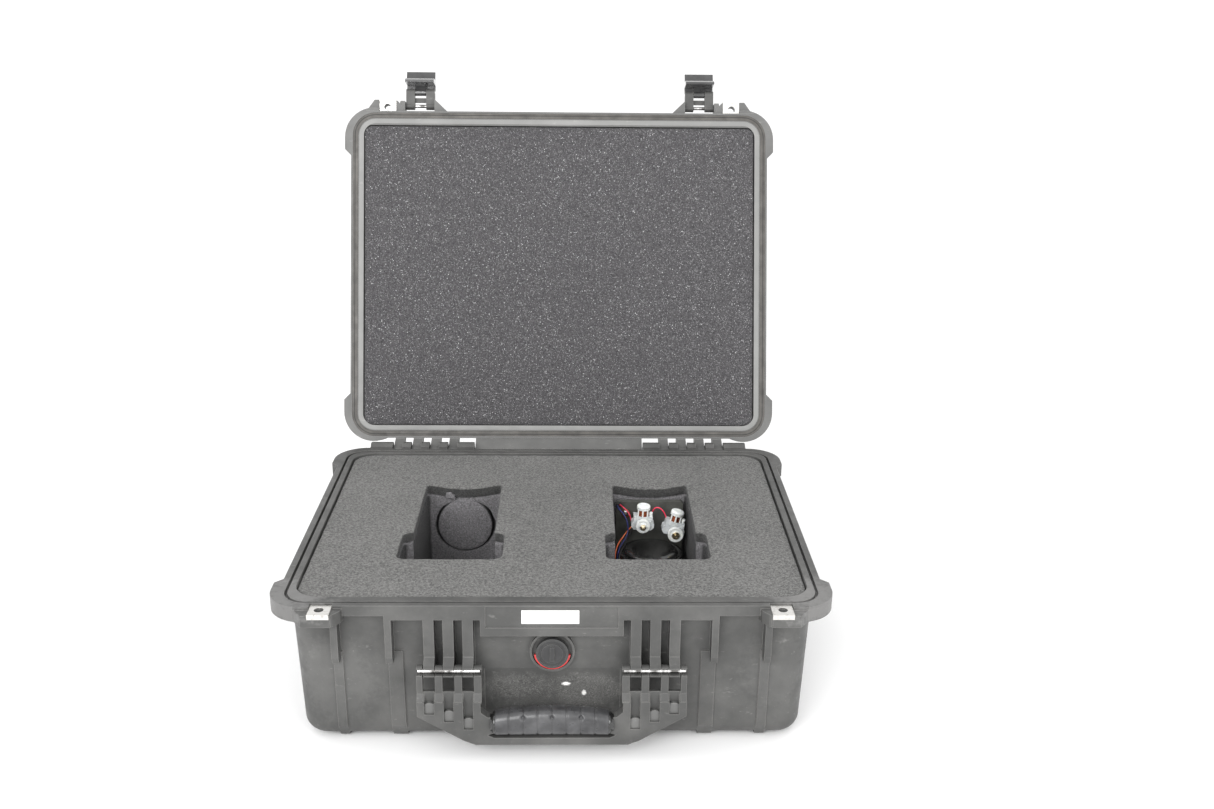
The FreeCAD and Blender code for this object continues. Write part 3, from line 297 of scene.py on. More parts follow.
def milky_nylon(name, dark, light):
    """Translucent nylon with moulding flow marks and faint grease stains."""
    it = Recipe(name, 0.32, specular=0.5, coat=0.3, through=0.25)
    it.set("Subsurface Radius", (0.004, 0.004, 0.005))
    it.set("Coat Roughness", 0.2)
    flow = it.noise(1, 4, 0.6, it.stretched(180, 60, 260))
    grime = it.ramp(it.noise(380, 4, 0.65), 0.52, 0.72)
    colour = it.mix(it.ramp(flow, 0.3, 0.7), dark, light)
    colour = it.mix(it.math("MULTIPLY", grime, 0.35), colour, (0.42, 0.40, 0.34))
    rounded, _ = it.soft_edges(0.0005)
    return it.finish(colour, it.ramp(flow, 0.3, 0.7, 0.28, 0.42),
                     it.bump(it.noise(420, 3), 0.00006, rounded))


def banded_steel(name):
    """A polished pin seen in short lengths, painted in bands of darker shade and brighter reflection along it,
    with turning marks.
    """
    it = Recipe(name, 0.2, metallic=1.0)
    # painted shade and reflection: the colour swings from dark to bright in bands along X
    shade_and_glint_bands = it.ramp(it.noise(1, 1, 0.5, it.stretched(150, 2, 2)), 0.40, 0.60)
    rings = it.noise(1, 3, 0.6, it.stretched(2600, 20, 20))
    colour = it.mix(shade_and_glint_bands, (0.16, 0.155, 0.15), (0.80, 0.79, 0.78))
    return it.finish(colour, it.ramp(rings, 0.3, 0.7, 0.16, 0.34), it.bump(rings, 0.00003))


def wound_copper(name):
    """Enamelled wire in close turns."""
    it = Recipe(name, 0.3, metallic=0.9)
    turns = it.add("ShaderNodeTexWave", bands_direction="Z")
    turns.inputs["Scale"].default_value = 600
    turns.inputs["Distortion"].default_value = 2.0
    it.link(it.place, turns.inputs["Vector"])
    lines = turns.outputs["Fac"]
    colour = it.mix(lines, (0.16, 0.035, 0.02), (0.62, 0.22, 0.10))
    return it.finish(colour, it.ramp(lines, 0, 1, 0.45, 0.25), it.bump(lines, 0.0002))


def insulation(name, dark, light):
    """Thin PVC insulation, slightly uneven."""
    it = Recipe(name, 0.35, specular=0.5, coat=0.25)
    uneven = it.noise(300, 3)
    colour = it.mix(it.ramp(uneven, 0.3, 0.7), dark, light)
    return it.finish(colour, it.ramp(uneven, 0.3, 0.7, 0.28, 0.42), it.bump(uneven, 0.00003))


def paper(name):
    """A blank adhesive label, slightly mottled."""
    it = Recipe(name, 0.45, specular=0.4, coat=0.2)
    fibres = it.noise(500, 4, 0.7)
    colour = it.mix(it.ramp(fibres, 0.3, 0.7), (0.84, 0.84, 0.82), (0.92, 0.92, 0.90))
    return it.finish(colour, it.ramp(fibres, 0.3, 0.7, 0.4, 0.5), it.bump(fibres, 0.00002))


WEAR_SHADE_AND_LIGHT_MARKS = (
    # painted shade: a near-black patch over the finger scoop below the handle, where shade falls
    ((0, -184, 46), (72, 16, 26), 0.42, (0.020, 0.020, 0.020), False),
    ((-34, -184, 60), (34, 14, 15), 0.50, (0.38, 0.375, 0.36), True),
    ((34, -184, 56), (38, 14, 20), 0.50, (0.38, 0.375, 0.36), True),
    ((0, -184, 50), (64, 14, 24), 0.30, (0.36, 0.355, 0.34), True),
    ((12.7, -184, 61.7), (4.8, 6, 2.4), 1.0, (0.86, 0.85, 0.83), False),
    ((29.8, -184, 51.9), (2.5, 6, 3.4), 1.0, (0.80, 0.79, 0.77), False),
    ((215, -184, 78), (40, 10, 40), 0.06, (0.36, 0.355, 0.345), False),
    ((-205, -184, 66), (40, 10, 46), 0.07, (0.36, 0.355, 0.345), False),
    # painted light: the tops of the rim at both front corners are lightened, as lit from above
    ((240, -176, 147), (44, 44, 12), 0.34, (0.30, 0.295, 0.29), False),
    ((-240, -176, 147), (44, 44, 12), 0.34, (0.30, 0.295, 0.29), False),
)
MATERIALS = {
    "black_plastic": moulded_plastic("case_plastic", (0.062, 0.062, 0.060), (0.27, 0.265, 0.255),
                                     marks=WEAR_SHADE_AND_LIGHT_MARKS),
    "steel": brushed("stainless", (0.42, 0.40, 0.37), (0.80, 0.79, 0.77), 0.22, 0.42),
    "pin_steel": banded_steel("pin_steel"),
    "white_label": paper("label_paper"),
    "red_rubber": rubber("red_silicone", (0.55, 0.012, 0.012), (0.78, 0.03, 0.03), 0.18, 0.3, 0.6),
    "gasket_rubber": rubber("gasket", (0.050, 0.046, 0.041), (0.105, 0.098, 0.088), 0.4, 0.6),
    "grip_rubber": rubber("grip", (0.030, 0.030, 0.032), (0.075, 0.075, 0.078), 0.26, 0.42, 0.25),
    "valve_plastic": moulded_plastic("valve", (0.030, 0.030, 0.031), (0.16, 0.16, 0.155), 0.00003, 0.3),
    "foam_grey": fine_foam("foam_fine", (0.036, 0.036, 0.034), (0.205, 0.203, 0.195)),
    "foam_dark": coarse_foam("foam_coarse", (0.026, 0.025, 0.027), (0.150, 0.145, 0.152),
                             (0.82, 0.82, 0.83), 0.055),
    "turret_matte": rubber("turret_black", (0.020, 0.020, 0.020), (0.050, 0.050, 0.047), 0.30, 0.48),
    "turret_gloss": rubber("turret_polish", (0.015, 0.015, 0.015), (0.034, 0.034, 0.033), 0.10, 0.22,
                           1.0, 0.000004),
    "motor_white": milky_nylon("motor_nylon", (0.70, 0.73, 0.72), (0.84, 0.85, 0.83)),
    "copper": wound_copper("copper_wire"),
    "brass": brushed("turned_brass", (0.34, 0.27, 0.16), (0.76, 0.67, 0.48), 0.22, 0.40),
    "lead_red": insulation("red_pvc", (0.70, 0.02, 0.06), (0.90, 0.07, 0.14)),
    "lead_blue": insulation("blue_pvc", (0.014, 0.020, 0.13), (0.035, 0.045, 0.26)),
    "lead_orange": insulation("orange_pvc", (0.85, 0.12, 0.03), (0.98, 0.24, 0.07)),
    "lead_black": insulation("black_pvc", (0.010, 0.010, 0.011), (0.03, 0.03, 0.032)),
}
# painted light: a lighter copy of the case plastic for the lid and the slot ends, standing in for how they catch
# the light
LIT_COPY_PLASTIC = moulded_plastic("lit_copy_plastic", (0.115, 0.115, 0.112), (0.33, 0.325, 0.315))
# painted light: an even lighter copy of the plastic for the flange round the lid's foam, as it catches a glancing
# light
PAINTED_LIGHT_FLANGE = moulded_plastic("flange_painted_light", (0.22, 0.22, 0.215), (0.40, 0.395, 0.38))
NECK_RUBBER = rubber("grip_neck", (0.006, 0.006, 0.006), (0.014, 0.014, 0.014), 0.08, 0.16, 0.8)
LATCH_PLASTIC = rubber("latch_plastic", (0.018, 0.018, 0.019), (0.052, 0.052, 0.052), 0.12, 0.22,
                       1.0, edge=0.0024)
BLOCK_FOAM = coarse_foam("foam_block_cut", (0.100, 0.096, 0.102), (0.330, 0.320, 0.332),
                         (0.66, 0.66, 0.67), 0.014, 0.90)
GEARBOX_NYLON = milky_nylon("gearbox_nylon", (0.50, 0.53, 0.54), (0.68, 0.70, 0.70))
BRACKET_PAINT = rubber("bracket_paint", (0.058, 0.059, 0.053), (0.115, 0.117, 0.105), 0.34, 0.52)
# painted shade: a dark rubber for thin bands that stand in for the shadowed gaps each side of the lid's gasket
SHADE_BAND_RUBBER = rubber("shade_band_rubber", (0.018, 0.018, 0.017), (0.036, 0.035, 0.033), 0.5, 0.7)
SLOT_OF = {part["node"]: part["material_slot"] for part in record["subparts"]}


def own_material(node):
    """The node's own look, where it differs from the rest of its slot."""
    if node.startswith(("lid_shell", "lid_lug")):
        return LIT_COPY_PLASTIC
    if node.startswith("latch_lever") and "pin" not in node:
        return LATCH_PLASTIC
    if node.startswith("motor_gearbox"):
        return GEARBOX_NYLON
    if node == "payload_bracket":
        return BRACKET_PAINT
    return MATERIALS[SLOT_OF[node]]


def dress_cad_nodes():
    for name, node in nodes.items():
        node.data.materials.clear()
        node.data.materials.append(own_material(name))


def settle(piece, body, slot, *replaced, material=None):
    """Give a finished piece its material, the slot's own unless another is given, and its body, and hide the nodes
    that it stands for.
    """
    piece.data.materials.clear()
    piece.data.materials.append(material or MATERIALS[slot])
    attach(piece, body)
    if replaced:
        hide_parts(*replaced)
    return piece


def new_object(name, mesh):
    piece = bpy.data.objects.new(name, mesh)
    bpy.context.scene.collection.objects.link(piece)
    return piece


def apply_modifiers(piece):
    graph = bpy.context.evaluated_depsgraph_get()
    graph.update()
    mesh = bpy.data.meshes.new_from_object(piece.evaluated_get(graph))
    piece.modifiers.clear()
    piece.data = mesh


def corners(mesh):
    flat = np.empty(len(mesh.vertices) * 3)
    mesh.vertices.foreach_get("co", flat)
    return flat.reshape(-1, 3)


def put_corners(mesh, points):
    mesh.vertices.foreach_set("co", points.ravel())
    mesh.update()


def smooth_faces(mesh):
    mesh.polygons.foreach_set("use_smooth", np.ones(len(mesh.polygons), dtype=bool))
    mesh.update()


# ---------------------------------------------------------------- foam

HINGE = Vector(joints["lid_hinge"]["pos_m"])
LEAN = math.radians(joints["lid_hinge"]["range_deg"][0])
LID_TURN = Matrix.Translation(HINGE) @ Matrix.Rotation(LEAN, 4, "X") @ Matrix.Translation(-HINGE)
SHEET_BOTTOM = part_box("foam_top_sheet")[0][2]
POCKET_X = 104 * MM
POCKET_HALF = 41.5 * MM
POCKET_BACK = 93 * MM


def rough_cut(points, depth, scale, seed):
    """Push points about by a smooth noise, as hand-cut foam wanders."""
    shift = Vector((seed, seed * 1.7, seed * 2.3))
    for point in points:
        place = Vector(point) / scale + shift
        point += np.array(noise.noise_vector(place)) * depth
    return points


def sag(points, depth):
    """How far a sheet's edge behind each pocket droops at these points."""
    drop = np.zeros(len(points))
    for middle in (-POCKET_X, POCKET_X):
        across = np.clip(np.abs(points[:, 0] - middle) / POCKET_HALF, 0, 1)
        back = points[:, 1] - POCKET_BACK
        near = np.where(back > -0.003, np.exp(-np.clip(back, 0, 1) / 0.016), 0)
        drop += depth * (1 - across ** 2) ** 1.3 * near
    return drop


def foam_from(node, name, voxel, slot, body, depth=0.0003, shape=None, material=None):
    """A foam piece as it comes off the knife: soft corners and slightly wandering faces."""
    piece = new_object(name, nodes[node].data.copy())
    remesh = piece.modifiers.new("Remesh", "REMESH")
    remesh.mode = "VOXEL"
    remesh.voxel_size = voxel
    soften = piece.modifiers.new("Soften", "SMOOTH")
    soften.factor = 0.5
    soften.iterations = 1
    apply_modifiers(piece)
    points = corners(piece.data)
    middle = points.mean(axis=0)
    rough_cut(points, depth, 0.012, 3.1 + len(name))
    points = middle + (points - middle) * (1 - depth / 0.4)
    if shape is not None:
        points = shape(points)
    put_corners(piece.data, points)
    smooth_faces(piece.data)
    settle(piece, body, slot, node, material=material)
    return piece


def drooping_sheet(points):
    points[:, 2] -= sag(points, 4.6 * MM)
    points[:, 1] -= sag(points, 1.6 * MM)
    return points


def pressed_block(points):
    top = np.clip((points[:, 2] - (SHEET_BOTTOM - 0.016)) / 0.016, 0, 1)
    points[:, 2] -= sag(points, 6.6 * MM) * top
    return points


def bulged_disc(points):
    """The round cut-out stands proud of its hole, with a gap all round."""
    low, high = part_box("foam_plug")
    x, z, radius = (low[0] + high[0]) / 2, (low[2] + high[2]) / 2, (high[0] - low[0]) / 2
    points[:, 0] = x + (points[:, 0] - x) * 0.955
    points[:, 2] = z + (points[:, 2] - z) * 0.955
    out = np.hypot(points[:, 0] - x, points[:, 2] - z) / radius
    points[:, 1] -= 2.4 * MM * np.clip(1 - out ** 3, 0, 1) * (points[:, 1] < high[1] - 4 * MM)
    return points


def torn_flap():
    """A scrap of foam that hangs from the torn upper edge of the empty pocket."""
    edge = [(-127, 139.5), (-124, 136.4), (-119.5, 136.9), (-114.6, 133.6), (-112.6, 136.8),
            (-114.4, 140.2), (-119.6, 144.2), (-125, 143.0)]
    middle = (-119.6, 139.4)
    places = []
    for y, swell in ((92.4, 1.0), (89.6, 0.86)):
        for k, (x, z) in enumerate(edge):
            places.append((middle[0] + (x - middle[0]) * swell, y - 0.5 * (k % 3),
                           middle[1] + (z - middle[1]) * swell))
    count = len(edge)
    faces = [tuple(reversed(range(count))), tuple(range(count, 2 * count))]
    faces += [(k, (k + 1) % count, (k + 1) % count + count, k + count) for k in range(count)]
    mesh = bpy.data.meshes.new("torn_flap")
    mesh.from_pydata([[c * MM for c in place] for place in places], [], faces)
    piece = new_object("torn_flap", mesh)
    remesh = piece.modifiers.new("Remesh", "REMESH")
    remesh.mode = "VOXEL"
    remesh.voxel_size = 0.0005
    apply_modifiers(piece)
    put_corners(piece.data, rough_cut(corners(piece.data), 0.0008, 0.004, 5.3))
    smooth_faces(piece.data)
    settle(piece, "base", "foam_dark", material=BLOCK_FOAM)


def foam():
    foam_from("foam_top_sheet", "cut_foam_sheet", 0.0017, "foam_grey", "base", 0.00035,
              drooping_sheet)
    foam_from("foam_block", "cut_foam_block", 0.0024, "foam_grey", "base", 0.0006, pressed_block,
              BLOCK_FOAM)
    foam_from("foam_floor_pad", "cut_foam_floor", 0.0040, "foam_grey", "base")
    foam_from("foam_plug", "cut_foam_plug", 0.0012, "foam_dark", "base", 0.0003, bulged_disc,
              BLOCK_FOAM)
    foam_from("lid_foam", "lid_foam_pad", 0.0028, "foam_dark", "lid", 0.0003)
    torn_flap()


# ---------------------------------------------------------------- handle grip

def grip():
    """The over-moulded grip: crowned, in segments, with framed dimples in every other one."""
    low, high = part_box("handle_grip")
    length, middle_y = high[0] - low[0], (low[1] + high[1]) / 2
    half_deep = (high[1] - low[1]) / 2
    rings, around, pitch = 200, 56, 13.4 * MM
    places = []
    for i in range(rings + 1):
        x = low[0] + length * i / rings
        end = abs(2 * i / rings - 1)
        top = high[2] - 5.2 * MM * end ** 2.2
        centre, half_high = (top + low[2]) / 2, (top - low[2]) / 2
        seam = abs((x / pitch + 0.5) % 1 - 0.5) * pitch
        shrink = 0.9 * MM * math.exp(-(seam / (0.62 * MM)) ** 2)
        shrink += 1.6 * MM * max(0, (end - 0.965) / 0.035) ** 2
        for j in range(around):
            turn = 2 * math.pi * j / around
            c, s = math.cos(turn), math.sin(turn)
            y = math.copysign(abs(c) ** 0.82, c) * (half_deep - shrink)
            z = math.copysign(abs(s) ** 0.82, s) * (half_high - shrink)
            places.append((x, middle_y + y, centre + z))
    faces = [(i * around + j, i * around + (j + 1) % around,
              (i + 1) * around + (j + 1) % around, (i + 1) * around + j)
             for i in range(rings) for j in range(around)]
    faces.append(tuple(range(around)))
    faces.append(tuple(reversed(range(rings * around, (rings + 1) * around))))
    mesh = bpy.data.meshes.new("grip")
    mesh.from_pydata(places, [], faces)
    mesh.flip_normals()
    points = corners(mesh)
    for x in (-2 * pitch, 0, 2 * pitch):
        away = np.hypot(points[:, 0] - x, (points[:, 2] - (high[2] - 6.5 * MM)) * 1.2)
        front = points[:, 1] < middle_y
        points[:, 1] += np.where(front, 1.9 * MM * np.exp(-(away / (2.3 * MM)) ** 4), 0)
    put_corners(mesh, points)
    smooth_faces(mesh)
    settle(new_object("segmented_grip", mesh), "handle", "grip_rubber", "handle_grip")


# ---------------------------------------------------------------- turned pieces

def turned(name, profile, place, around=64, closed=False):
    """A mesh turned about local Z from (radius, height) points in mm.

    An open profile starts and ends on the axis; a closed one is a ring that goes clear round it.
    """
    places, faces, rings = [], [], []
    for radius, height in profile:
        if radius == 0:
            rings.append([len(places)] * around)
            places.append((0, 0, height * MM))
            continue
        rings.append(range(len(places), len(places) + around))
        for j in range(around):
            turn = 2 * math.pi * j / around
            places.append((radius * MM * math.cos(turn), radius * MM * math.sin(turn), height * MM))
    pairs = list(zip(rings, rings[1:]))
    if closed:
        pairs.append((rings[-1], rings[0]))
    for low, high in pairs:
        for j in range(around):
            k = (j + 1) % around
            face = list(dict.fromkeys((low[j], low[k], high[k], high[j])))
            if len(face) > 2:
                faces.append(face)
    mesh = bpy.data.meshes.new(name)
    mesh.from_pydata(places, [], faces)
    mesh.transform(place)
    mesh.validate()
    smooth_faces(mesh)
    mesh.set_sharp_from_angle(angle=math.radians(50))
    return new_object(name, mesh)


def arc(centre, radius, start, end, steps=6):
    """Profile points along an arc; the centre is (radius, height) in mm and the angles degrees."""
    for i in range(steps + 1):
        turn = math.radians(start + (end - start) * i / steps)
        yield centre[0] + radius * math.cos(turn), centre[1] + radius * math.sin(turn)


FORWARD = Matrix.Rotation(math.radians(90), 4, "X")
ALONG_X = Matrix.Rotation(math.radians(90), 4, "Y")
MOTOR_TILT = {"left": 3, "right": 14}
MOTOR_ASIDE = {"left": 0, "right": -3}
MOTOR_LIFT = {"left": 0, "right": 3}
WHEEL_ROUND = {"left": 7.9, "right": 8.7}
MOTOR_SPIN_Y = 54.5
MOTOR_FRONT_Y = 48.5


def motor_frame(side):
    """Where a motor's wheel is centred, tipped as the motor stands."""
    return (Matrix.Translation(Vector(joints[f"wheel_{side}_spin"]["pos_m"]))
            @ Matrix.Rotation(math.radians(MOTOR_TILT[side]), 4, "Y"))


def wheel_details(side, frame_here):
    body, outer = f"wheel_{side}", WHEEL_ROUND[side]
    tyre = [(1.6, -2), (outer - 0.7, -2), *arc((outer - 0.7, -1.3), 0.7, -90, 0, 3),
            (outer - 0.4, -0.4), (outer - 0.4, 0.4), *arc((outer - 0.7, 1.3), 0.7, 0, 90, 3),
            (outer - 2.0, 2), (outer - 2.4, 1.5), (4.7, 1.5), (4.4, 2), (3.9, 2.2), (3.9, 3.3),
            (3.6, 3.6), (1.6, 3.6)]
    settle(turned(f"wheel_{side}_tyre", tyre, frame_here @ FORWARD, closed=True), body,
           "motor_white", f"motor_wheel_{side}")
    if side == "right":
        hub = [(0, 3.0), (4.1, 3.0), (4.3, 3.3), (4.3, 4.1), (4.0, 4.4), (2.4, 4.4), (2.0, 4.0),
               (0, 4.0)]
        settle(turned("wheel_right_hub", hub, frame_here @ FORWARD), body, "brass")
        return
    nut = [(0, 3.5), (3.3, 3.5), (3.6, 3.9), (3.6, 5.1), (3.2, 5.5), (0, 5.5)]
    settle(turned("wheel_left_nut", nut, frame_here @ FORWARD, around=6), body, "brass")
    tip = [(0, 5.4), (2.2, 5.4), (2.2, 6.4), (1.8, 7.2), (1.0, 7.6), (0, 7.6)]
    settle(turned("wheel_left_tip", tip, frame_here @ FORWARD, around=24), body, "brass")


def motor_details(side):
    """The motor on top of its gearbox: a grooved cap over a winding held in three pillars."""
    frame_here = motor_frame(side)
    wheel_details(side, frame_here)
    wheel_y = joints[f"wheel_{side}_spin"]["pos_m"][1] / MM
    aside, lift = MOTOR_ASIDE[side] * MM, MOTOR_LIFT[side] * MM
    spindle = frame_here @ Matrix.Translation((aside, (MOTOR_SPIN_Y - wheel_y) * MM, lift))
    cap = [(0, 16.6), (7.3, 16.6), (7.4, 17.0), (7.1, 17.3), (7.1, 17.6), (7.4, 17.9), (7.4, 19.4),
           *arc((5.2, 19.4), 2.2, 0, 80, 5), (3.2, 21.6), (2.9, 21.2), (0, 21.2)]
    settle(turned(f"motor_{side}_cap", cap, spindle), "payload", "motor_white",
           f"motor_cap_{side}")
    turns = [(6.0 + 0.25 * math.cos(2 * math.pi * h / 0.7), 9.5 + h)
             for h in np.linspace(0, 6.8, 79)]
    winding = [(0, 9.45), *turns, (0, 16.4)]
    settle(turned(f"motor_{side}_winding", winding, spindle), "payload", "copper",
           f"motor_winding_{side}")
    for index, turn in enumerate((208, 262, 316)):
        c, s = math.cos(math.radians(turn)), math.sin(math.radians(turn))
        place = spindle @ Matrix.Translation((6.2 * c * MM, 6.2 * s * MM, 0))
        pillar = [(0, 9.35), (0.95, 9.35), (0.95, 16.55), (0, 16.55)]
        settle(turned(f"motor_{side}_pillar_{index}", pillar, place, around=16), "payload",
               "motor_white")
    front = frame_here @ Matrix.Translation((aside, (MOTOR_FRONT_Y - wheel_y) * MM, lift))
    for index, (x, z) in enumerate(((-5.6, 6.2), (1.6, 6.6), (7.4, 5.2))):
        boss = [(0, -0.4), (1.9, -0.4), (1.9, 0.35), (1.7, 0.5), (1.1, 0.5), (0.9, 0.1), (0, 0.1)]
        place = front @ Matrix.Translation((x * MM, 0, z * MM)) @ FORWARD
        settle(turned(f"motor_{side}_boss_{index}", boss, place, around=24), "payload",
               "motor_white", material=GEARBOX_NYLON)
    terminal = [(0, 9.2), (1.7, 9.2), (1.9, 9.6), (1.9, 13.4), (1.5, 13.8), (0, 13.8)]
    place = spindle @ Matrix.Translation((8.4 * MM, -1.5 * MM, 0))
    settle(turned(f"motor_{side}_terminal", terminal, place, around=20), "payload", "motor_white")


def turret():
    x, y, _ = joints["turret_pan"]["pos_m"]
    middle = Matrix.Translation((x, y, 0))
    dome = [(0, 63.3), (32.6, 63.3), (33, 63.9), (33, 91.2), *arc((33.8, 92.3), 1.2, -60, 0, 3),
            *arc((34.0, 93.5), 1.0, 0, 90, 5), (31.6, 94.5), (31.0, 93.9), (29.6, 93.8),
            *arc((26.4, 94.5), 2.6, 0, 78, 6), (20, 97.2), (10, 97.45), (0, 97.5)]
    settle(turned("turret_lens", dome, middle, around=128), "turret_dome", "turret_gloss",
           "turret_dome")
    collar = [(0, 57.0), (35.5, 57.0), (36, 57.5), (36, 66), (35.5, 66.4), (35.5, 67.4), (36, 67.8),
              (36, 82.2), *arc((35.3, 82.3), 0.7, 0, 90, 4), (34.2, 83), (33.5, 82.4), (33.5, 63.05),
              (0, 63.05)]
    settle(turned("turret_ring", collar, middle, around=128), "payload", "turret_matte",
           "turret_collar")


def payload_details():
    for side in SIDES:
        motor_details(side)
    turret()
    low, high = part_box("payload_screws")
    z = (low[2] + high[2]) / 2
    for name, x in (("left", low[0] + 3 * MM), ("right", high[0] - 3 * MM)):
        head = [(0, 0), (3.0, 0), (3.1, 0.5), *arc((1.5, -0.2), 1.9, 40, 88, 5), (0.5, 1.4),
                (0.4, 0.9), (0, 0.9)]
        place = Matrix.Translation((x, low[1], z)) @ FORWARD
        settle(turned(f"screw_{name}_crown", head, place, around=32), "payload", "steel")
    loop = [*arc((4.6, 0.4), 0.42, 0, 330, 11)]
    place = Matrix.Translation((low[0] + 3 * MM, low[1], z)) @ FORWARD
    settle(turned("screw_wire_loop", loop, place, closed=True), "payload", "copper")


def grip_necks():
    """The polished collars that the grip runs into at each end."""
    low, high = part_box("handle_grip")
    y, z = (low[1] + high[1]) / 2, low[2] + (high[2] - low[2]) * 0.40
    radius = (high[2] - low[2]) * 0.40 / MM
    for name, x, way in (("left", low[0], -1), ("right", high[0], 1)):
        neck = [(0, -3), (radius - 1.2, -3), *arc((radius - 1.6, -0.4), 1.6, -60, 60, 6),
                (radius - 2.4, 2.2), (radius - 3.0, 3.6), (0, 4.0)]
        place = Matrix.Translation((x, y, z)) @ ALONG_X
        if way < 0:
            place = place @ Matrix.Rotation(math.pi, 4, "X")
        settle(turned(f"grip_neck_{name}", neck, place), "handle", "grip_rubber",
               material=NECK_RUBBER)


def slot_ends():
    """The rounded lower ends of the slots in the handle's frame, made lighter with painted light."""
    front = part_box("handle_frame")[0][1] / MM
    for name, way in (("left", -1), ("right", 1)):
        for index, (x, z) in enumerate(((77.5, 36.2), (95.5, 44.2), (113.5, 52.2))):
            end = [(0, -6), (7.5, -6), (7.5, -2.6), (5.5, -2.1), (0, -1.9)]
            place = Matrix.Translation((way * x * MM, front * MM, z * MM)) @ FORWARD
            settle(turned(f"slot_end_{name}_{index}", end, place, around=28), "handle",
                   "black_plastic", material=LIT_COPY_PLASTIC)


# ---------------------------------------------------------------- lid rim

def rim_ring(name, profile, half_x, front, back, radius, place, steps=12):
    """A closed ring whose section, (inset, height) points in mm, follows a rounded rectangle."""
    corners_at = ((half_x - radius, back - radius, 0), (radius - half_x, back - radius, 90),
                  (radius - half_x, radius - front, 180), (half_x - radius, radius - front, 270))
    route = []
    for x, y, start in corners_at:
        for i in range(steps + 1):
            turn = math.radians(start + 90 * i / steps)
            route.append((x, y, math.cos(turn), math.sin(turn)))
    places = [((x + c * (radius - inset)) * MM, (y + s * (radius - inset)) * MM, height * MM)
              for x, y, c, s in route for inset, height in profile]
    count, section = len(route), len(profile)
    faces = [(i * section + j, i * section + (j + 1) % section,
              (i + 1) % count * section + (j + 1) % section, (i + 1) % count * section + j)
             for i in range(count) for j in range(section)]
    mesh = bpy.data.meshes.new(name)
    mesh.from_pydata(places, [], faces)
    mesh.transform(place)
    mesh.validate()
    smooth_faces(mesh)
    mesh.set_sharp_from_angle(angle=math.radians(40))
    return new_object(name, mesh)


def lid_rim():
    """The flange round the lid's foam, pale with painted light, and dark bands of painted shade each side of the
    gasket.
    """
    low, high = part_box("lid_gasket")
    half = (high[0] - low[0]) / 2 / MM
    front = back = record_rim_depth()
    flange = [(7.2, 154.7), (7.5, 154.05), (8.4, 153.98), (12.2, 153.98), (13.0, 154.1),
              (13.2, 154.9)]
    piece = rim_ring("lid_inner_flange", flange, half, front, back, 27.6, LID_TURN)
    settle(piece, "lid", "black_plastic", material=PAINTED_LIGHT_FLANGE)
    # painted shade: dark bands each side of the gasket for the shade in the gaps
    for name, start, end in (("outer", 2.0, 3.0), ("inner", 6.1, 7.25)):
        shade_band = [(start, 154.7), (start, 154.17), (end, 154.17), (end, 154.7)]
        piece = rim_ring(f"lid_shade_band_{name}", shade_band, half, front, back, 27.6, LID_TURN)
        settle(piece, "lid", "gasket_rubber", material=SHADE_BAND_RUBBER)


def record_rim_depth():
    """Half the gasket's depth in mm; the gasket stands open, so it is measured along the lid."""
    points = corners(nodes["lid_gasket"].data)
    closed = LID_TURN.inverted()
    ys = [(closed @ Vector(point)).y for point in points]
    return (max(ys) - min(ys)) / 2 / MM


# ---------------------------------------------------------------- leads

LEADS = {
    "lead_red": [(70.4, 74.4, 136), (72.5, 68.5, 136.5), (78, 63.5, 133.5), (81.8, 61.3, 128),
                 (82.6, 60, 121.5), (86.8, 57.5, 119.5)],
    "lead_blue": [(67.4, 74.4, 135), (69, 68, 133.5), (75, 63, 129), (79.2, 59, 120),
                  (79.4, 55.5, 110.5), (74.8, 50, 103), (68.4, 43.5, 96), (66.4, 32, 84.5),
                  (66.4, 20, 72.5), (66.8, 9, 63), (68.3, -1, 56.6), (73, -8.5, 52),
                  (81, -14, 51.3), (91, -17.6, 52.3)],
    "lead_orange": [(85, 63, 116), (80, 60.5, 112), (73.5, 55.5, 105), (67, 48, 98.5),
                    (64.2, 38, 89), (63.9, 25, 76.5), (63.9, 12, 65), (65.5, 0, 57),
                    (70, -10, 53), (79, -17.6, 52.4), (91, -20.8, 53.6)],
    "lead_black": [(86, 66.5, 116), (82.5, 62, 108), (79, 54, 102.5), (74, 41, 100),
                   (69, 27, 97.5), (67.4, 14, 88), (66.2, 2, 75.5), (66.6, -9, 63),
                   (71, -18.5, 54), (80, -23.8, 51.6), (91, -24.8, 52.4)],
    "lead_link": [(104.5, 60, 128), (105.5, 60, 134), (109.5, 59.5, 139.5), (115.5, 58.5, 138.5),
                  (120, 58, 132), (121.8, 57.7, 126), (122, 57.5, 121.5)],
}
LEAD_THICK = 1.3 * MM


def lead_curve(name, route):
    data = bpy.data.curves.new(name, "CURVE")
    data.dimensions = "3D"
    data.bevel_depth = LEAD_THICK / 2
    data.bevel_resolution = 3
    data.use_fill_caps = True
    spline = data.splines.new("NURBS")
    spline.points.add(len(route) - 1)
    for point, place in zip(spline.points, route):
        point.co = (*(c * MM for c in place), 1.0)
    spline.order_u = 3
    spline.use_endpoint_u = True
    spline.resolution_u = 8
    return data


def line_length(data):
    """The length of the curve's own smooth line."""
    thick, data.bevel_depth = data.bevel_depth, 0.0
    probe = bpy.data.objects.new("probe", data)
    bpy.context.scene.collection.objects.link(probe)
    graph = bpy.context.evaluated_depsgraph_get()
    graph.update()
    line = corners(bpy.data.meshes.new_from_object(probe.evaluated_get(graph)))
    bpy.data.objects.remove(probe)
    data.bevel_depth = thick
    return float(np.linalg.norm(np.diff(line, axis=0), axis=1).sum())


def leads():
    for name, route in LEADS.items():
        data = lead_curve(name + "_wire", route)
        piece = new_object(name + "_wire", data)
        settle(piece, "payload", SLOT_OF[name], name)
        length = line_length(data)


# ---------------------------------------------------------------- stage, camera and light

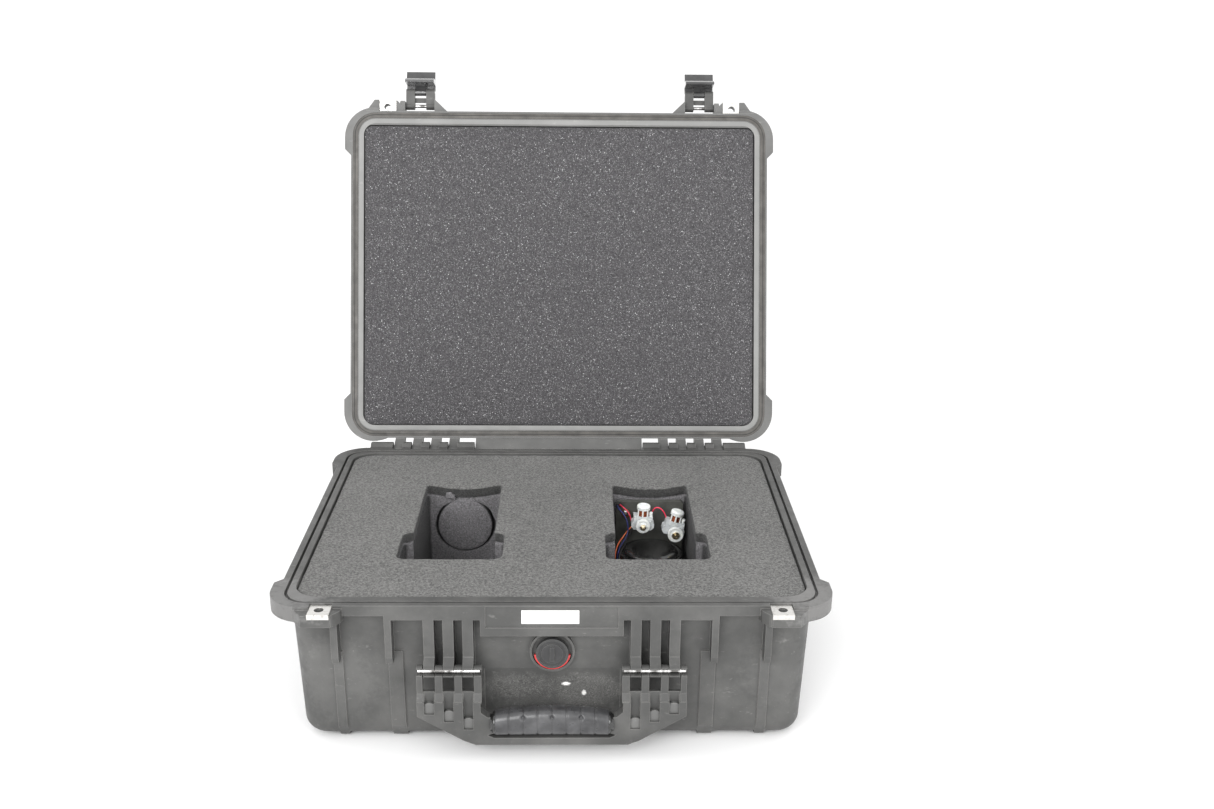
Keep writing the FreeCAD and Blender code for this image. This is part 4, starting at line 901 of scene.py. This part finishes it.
def floor():
    half, low = 30.0, cad_box[0][2] - 0.0002
    mesh = bpy.data.meshes.new("floor")
    mesh.from_pydata([(-half, -half, low), (half, -half, low), (half, half, low),
                      (-half, half, low)], [], [(0, 1, 2, 3)])
    ground = new_object("floor", mesh)
    it = Recipe("pale_floor", 0.7, specular=0.2)
    drift = it.noise(2, 2)
    mesh.materials.append(it.finish(it.mix(drift, (0.90, 0.90, 0.90), (0.94, 0.94, 0.94))))


def area_light(name, place, target, size, power):
    light = bpy.data.lights.new(name, "AREA")
    light.energy = power
    light.shape = "RECTANGLE"
    light.size, light.size_y = size
    lamp = new_object(name, light)
    lamp.location = place
    lamp.rotation_euler = (Vector(target) - Vector(place)).to_track_quat("-Z", "Y").to_euler()
    return lamp


def studio():
    world = bpy.data.worlds.new("studio")
    world.use_nodes = True
    world.node_tree.nodes["Background"].inputs["Color"].default_value = (1, 1, 1, 1)
    world.node_tree.nodes["Background"].inputs["Strength"].default_value = 1.25
    bpy.context.scene.world = world
    bpy.context.scene.view_settings.view_transform = "Standard"
    area_light("key", (-0.9, -2.3, 1.5), (0, 0, 0.2), (1.6, 1.2), 44)
    area_light("fill", (1.3, -1.8, 1.1), (0, 0, 0.2), (1.2, 1.0), 12)


def camera():
    lens = bpy.data.cameras.new("camera")
    lens.sensor_width = 36.0
    lens.lens = 38.73
    lens.clip_end = 100
    view = new_object("camera", lens)
    view.location = (0.02292, -1.26844, 0.71492)
    pitch, yaw, roll = math.radians(18.935), math.radians(1.359), math.radians(0.633)
    ahead = Vector((math.sin(yaw) * math.cos(pitch), math.cos(yaw) * math.cos(pitch),
                    -math.sin(pitch)))
    level_right = Vector((math.cos(yaw), -math.sin(yaw), 0))
    level_up = level_right.cross(ahead)
    right = level_right * math.cos(roll) + level_up * math.sin(roll)
    up = level_up * math.cos(roll) - level_right * math.sin(roll)
    view.rotation_euler = Matrix((right, up, -ahead)).transposed().to_euler()
    bpy.context.scene.camera = view


camera()
leads()
studio()
floor()
dress_cad_nodes()
foam()
grip()
grip_necks()
slot_ends()
payload_details()
lid_rim()
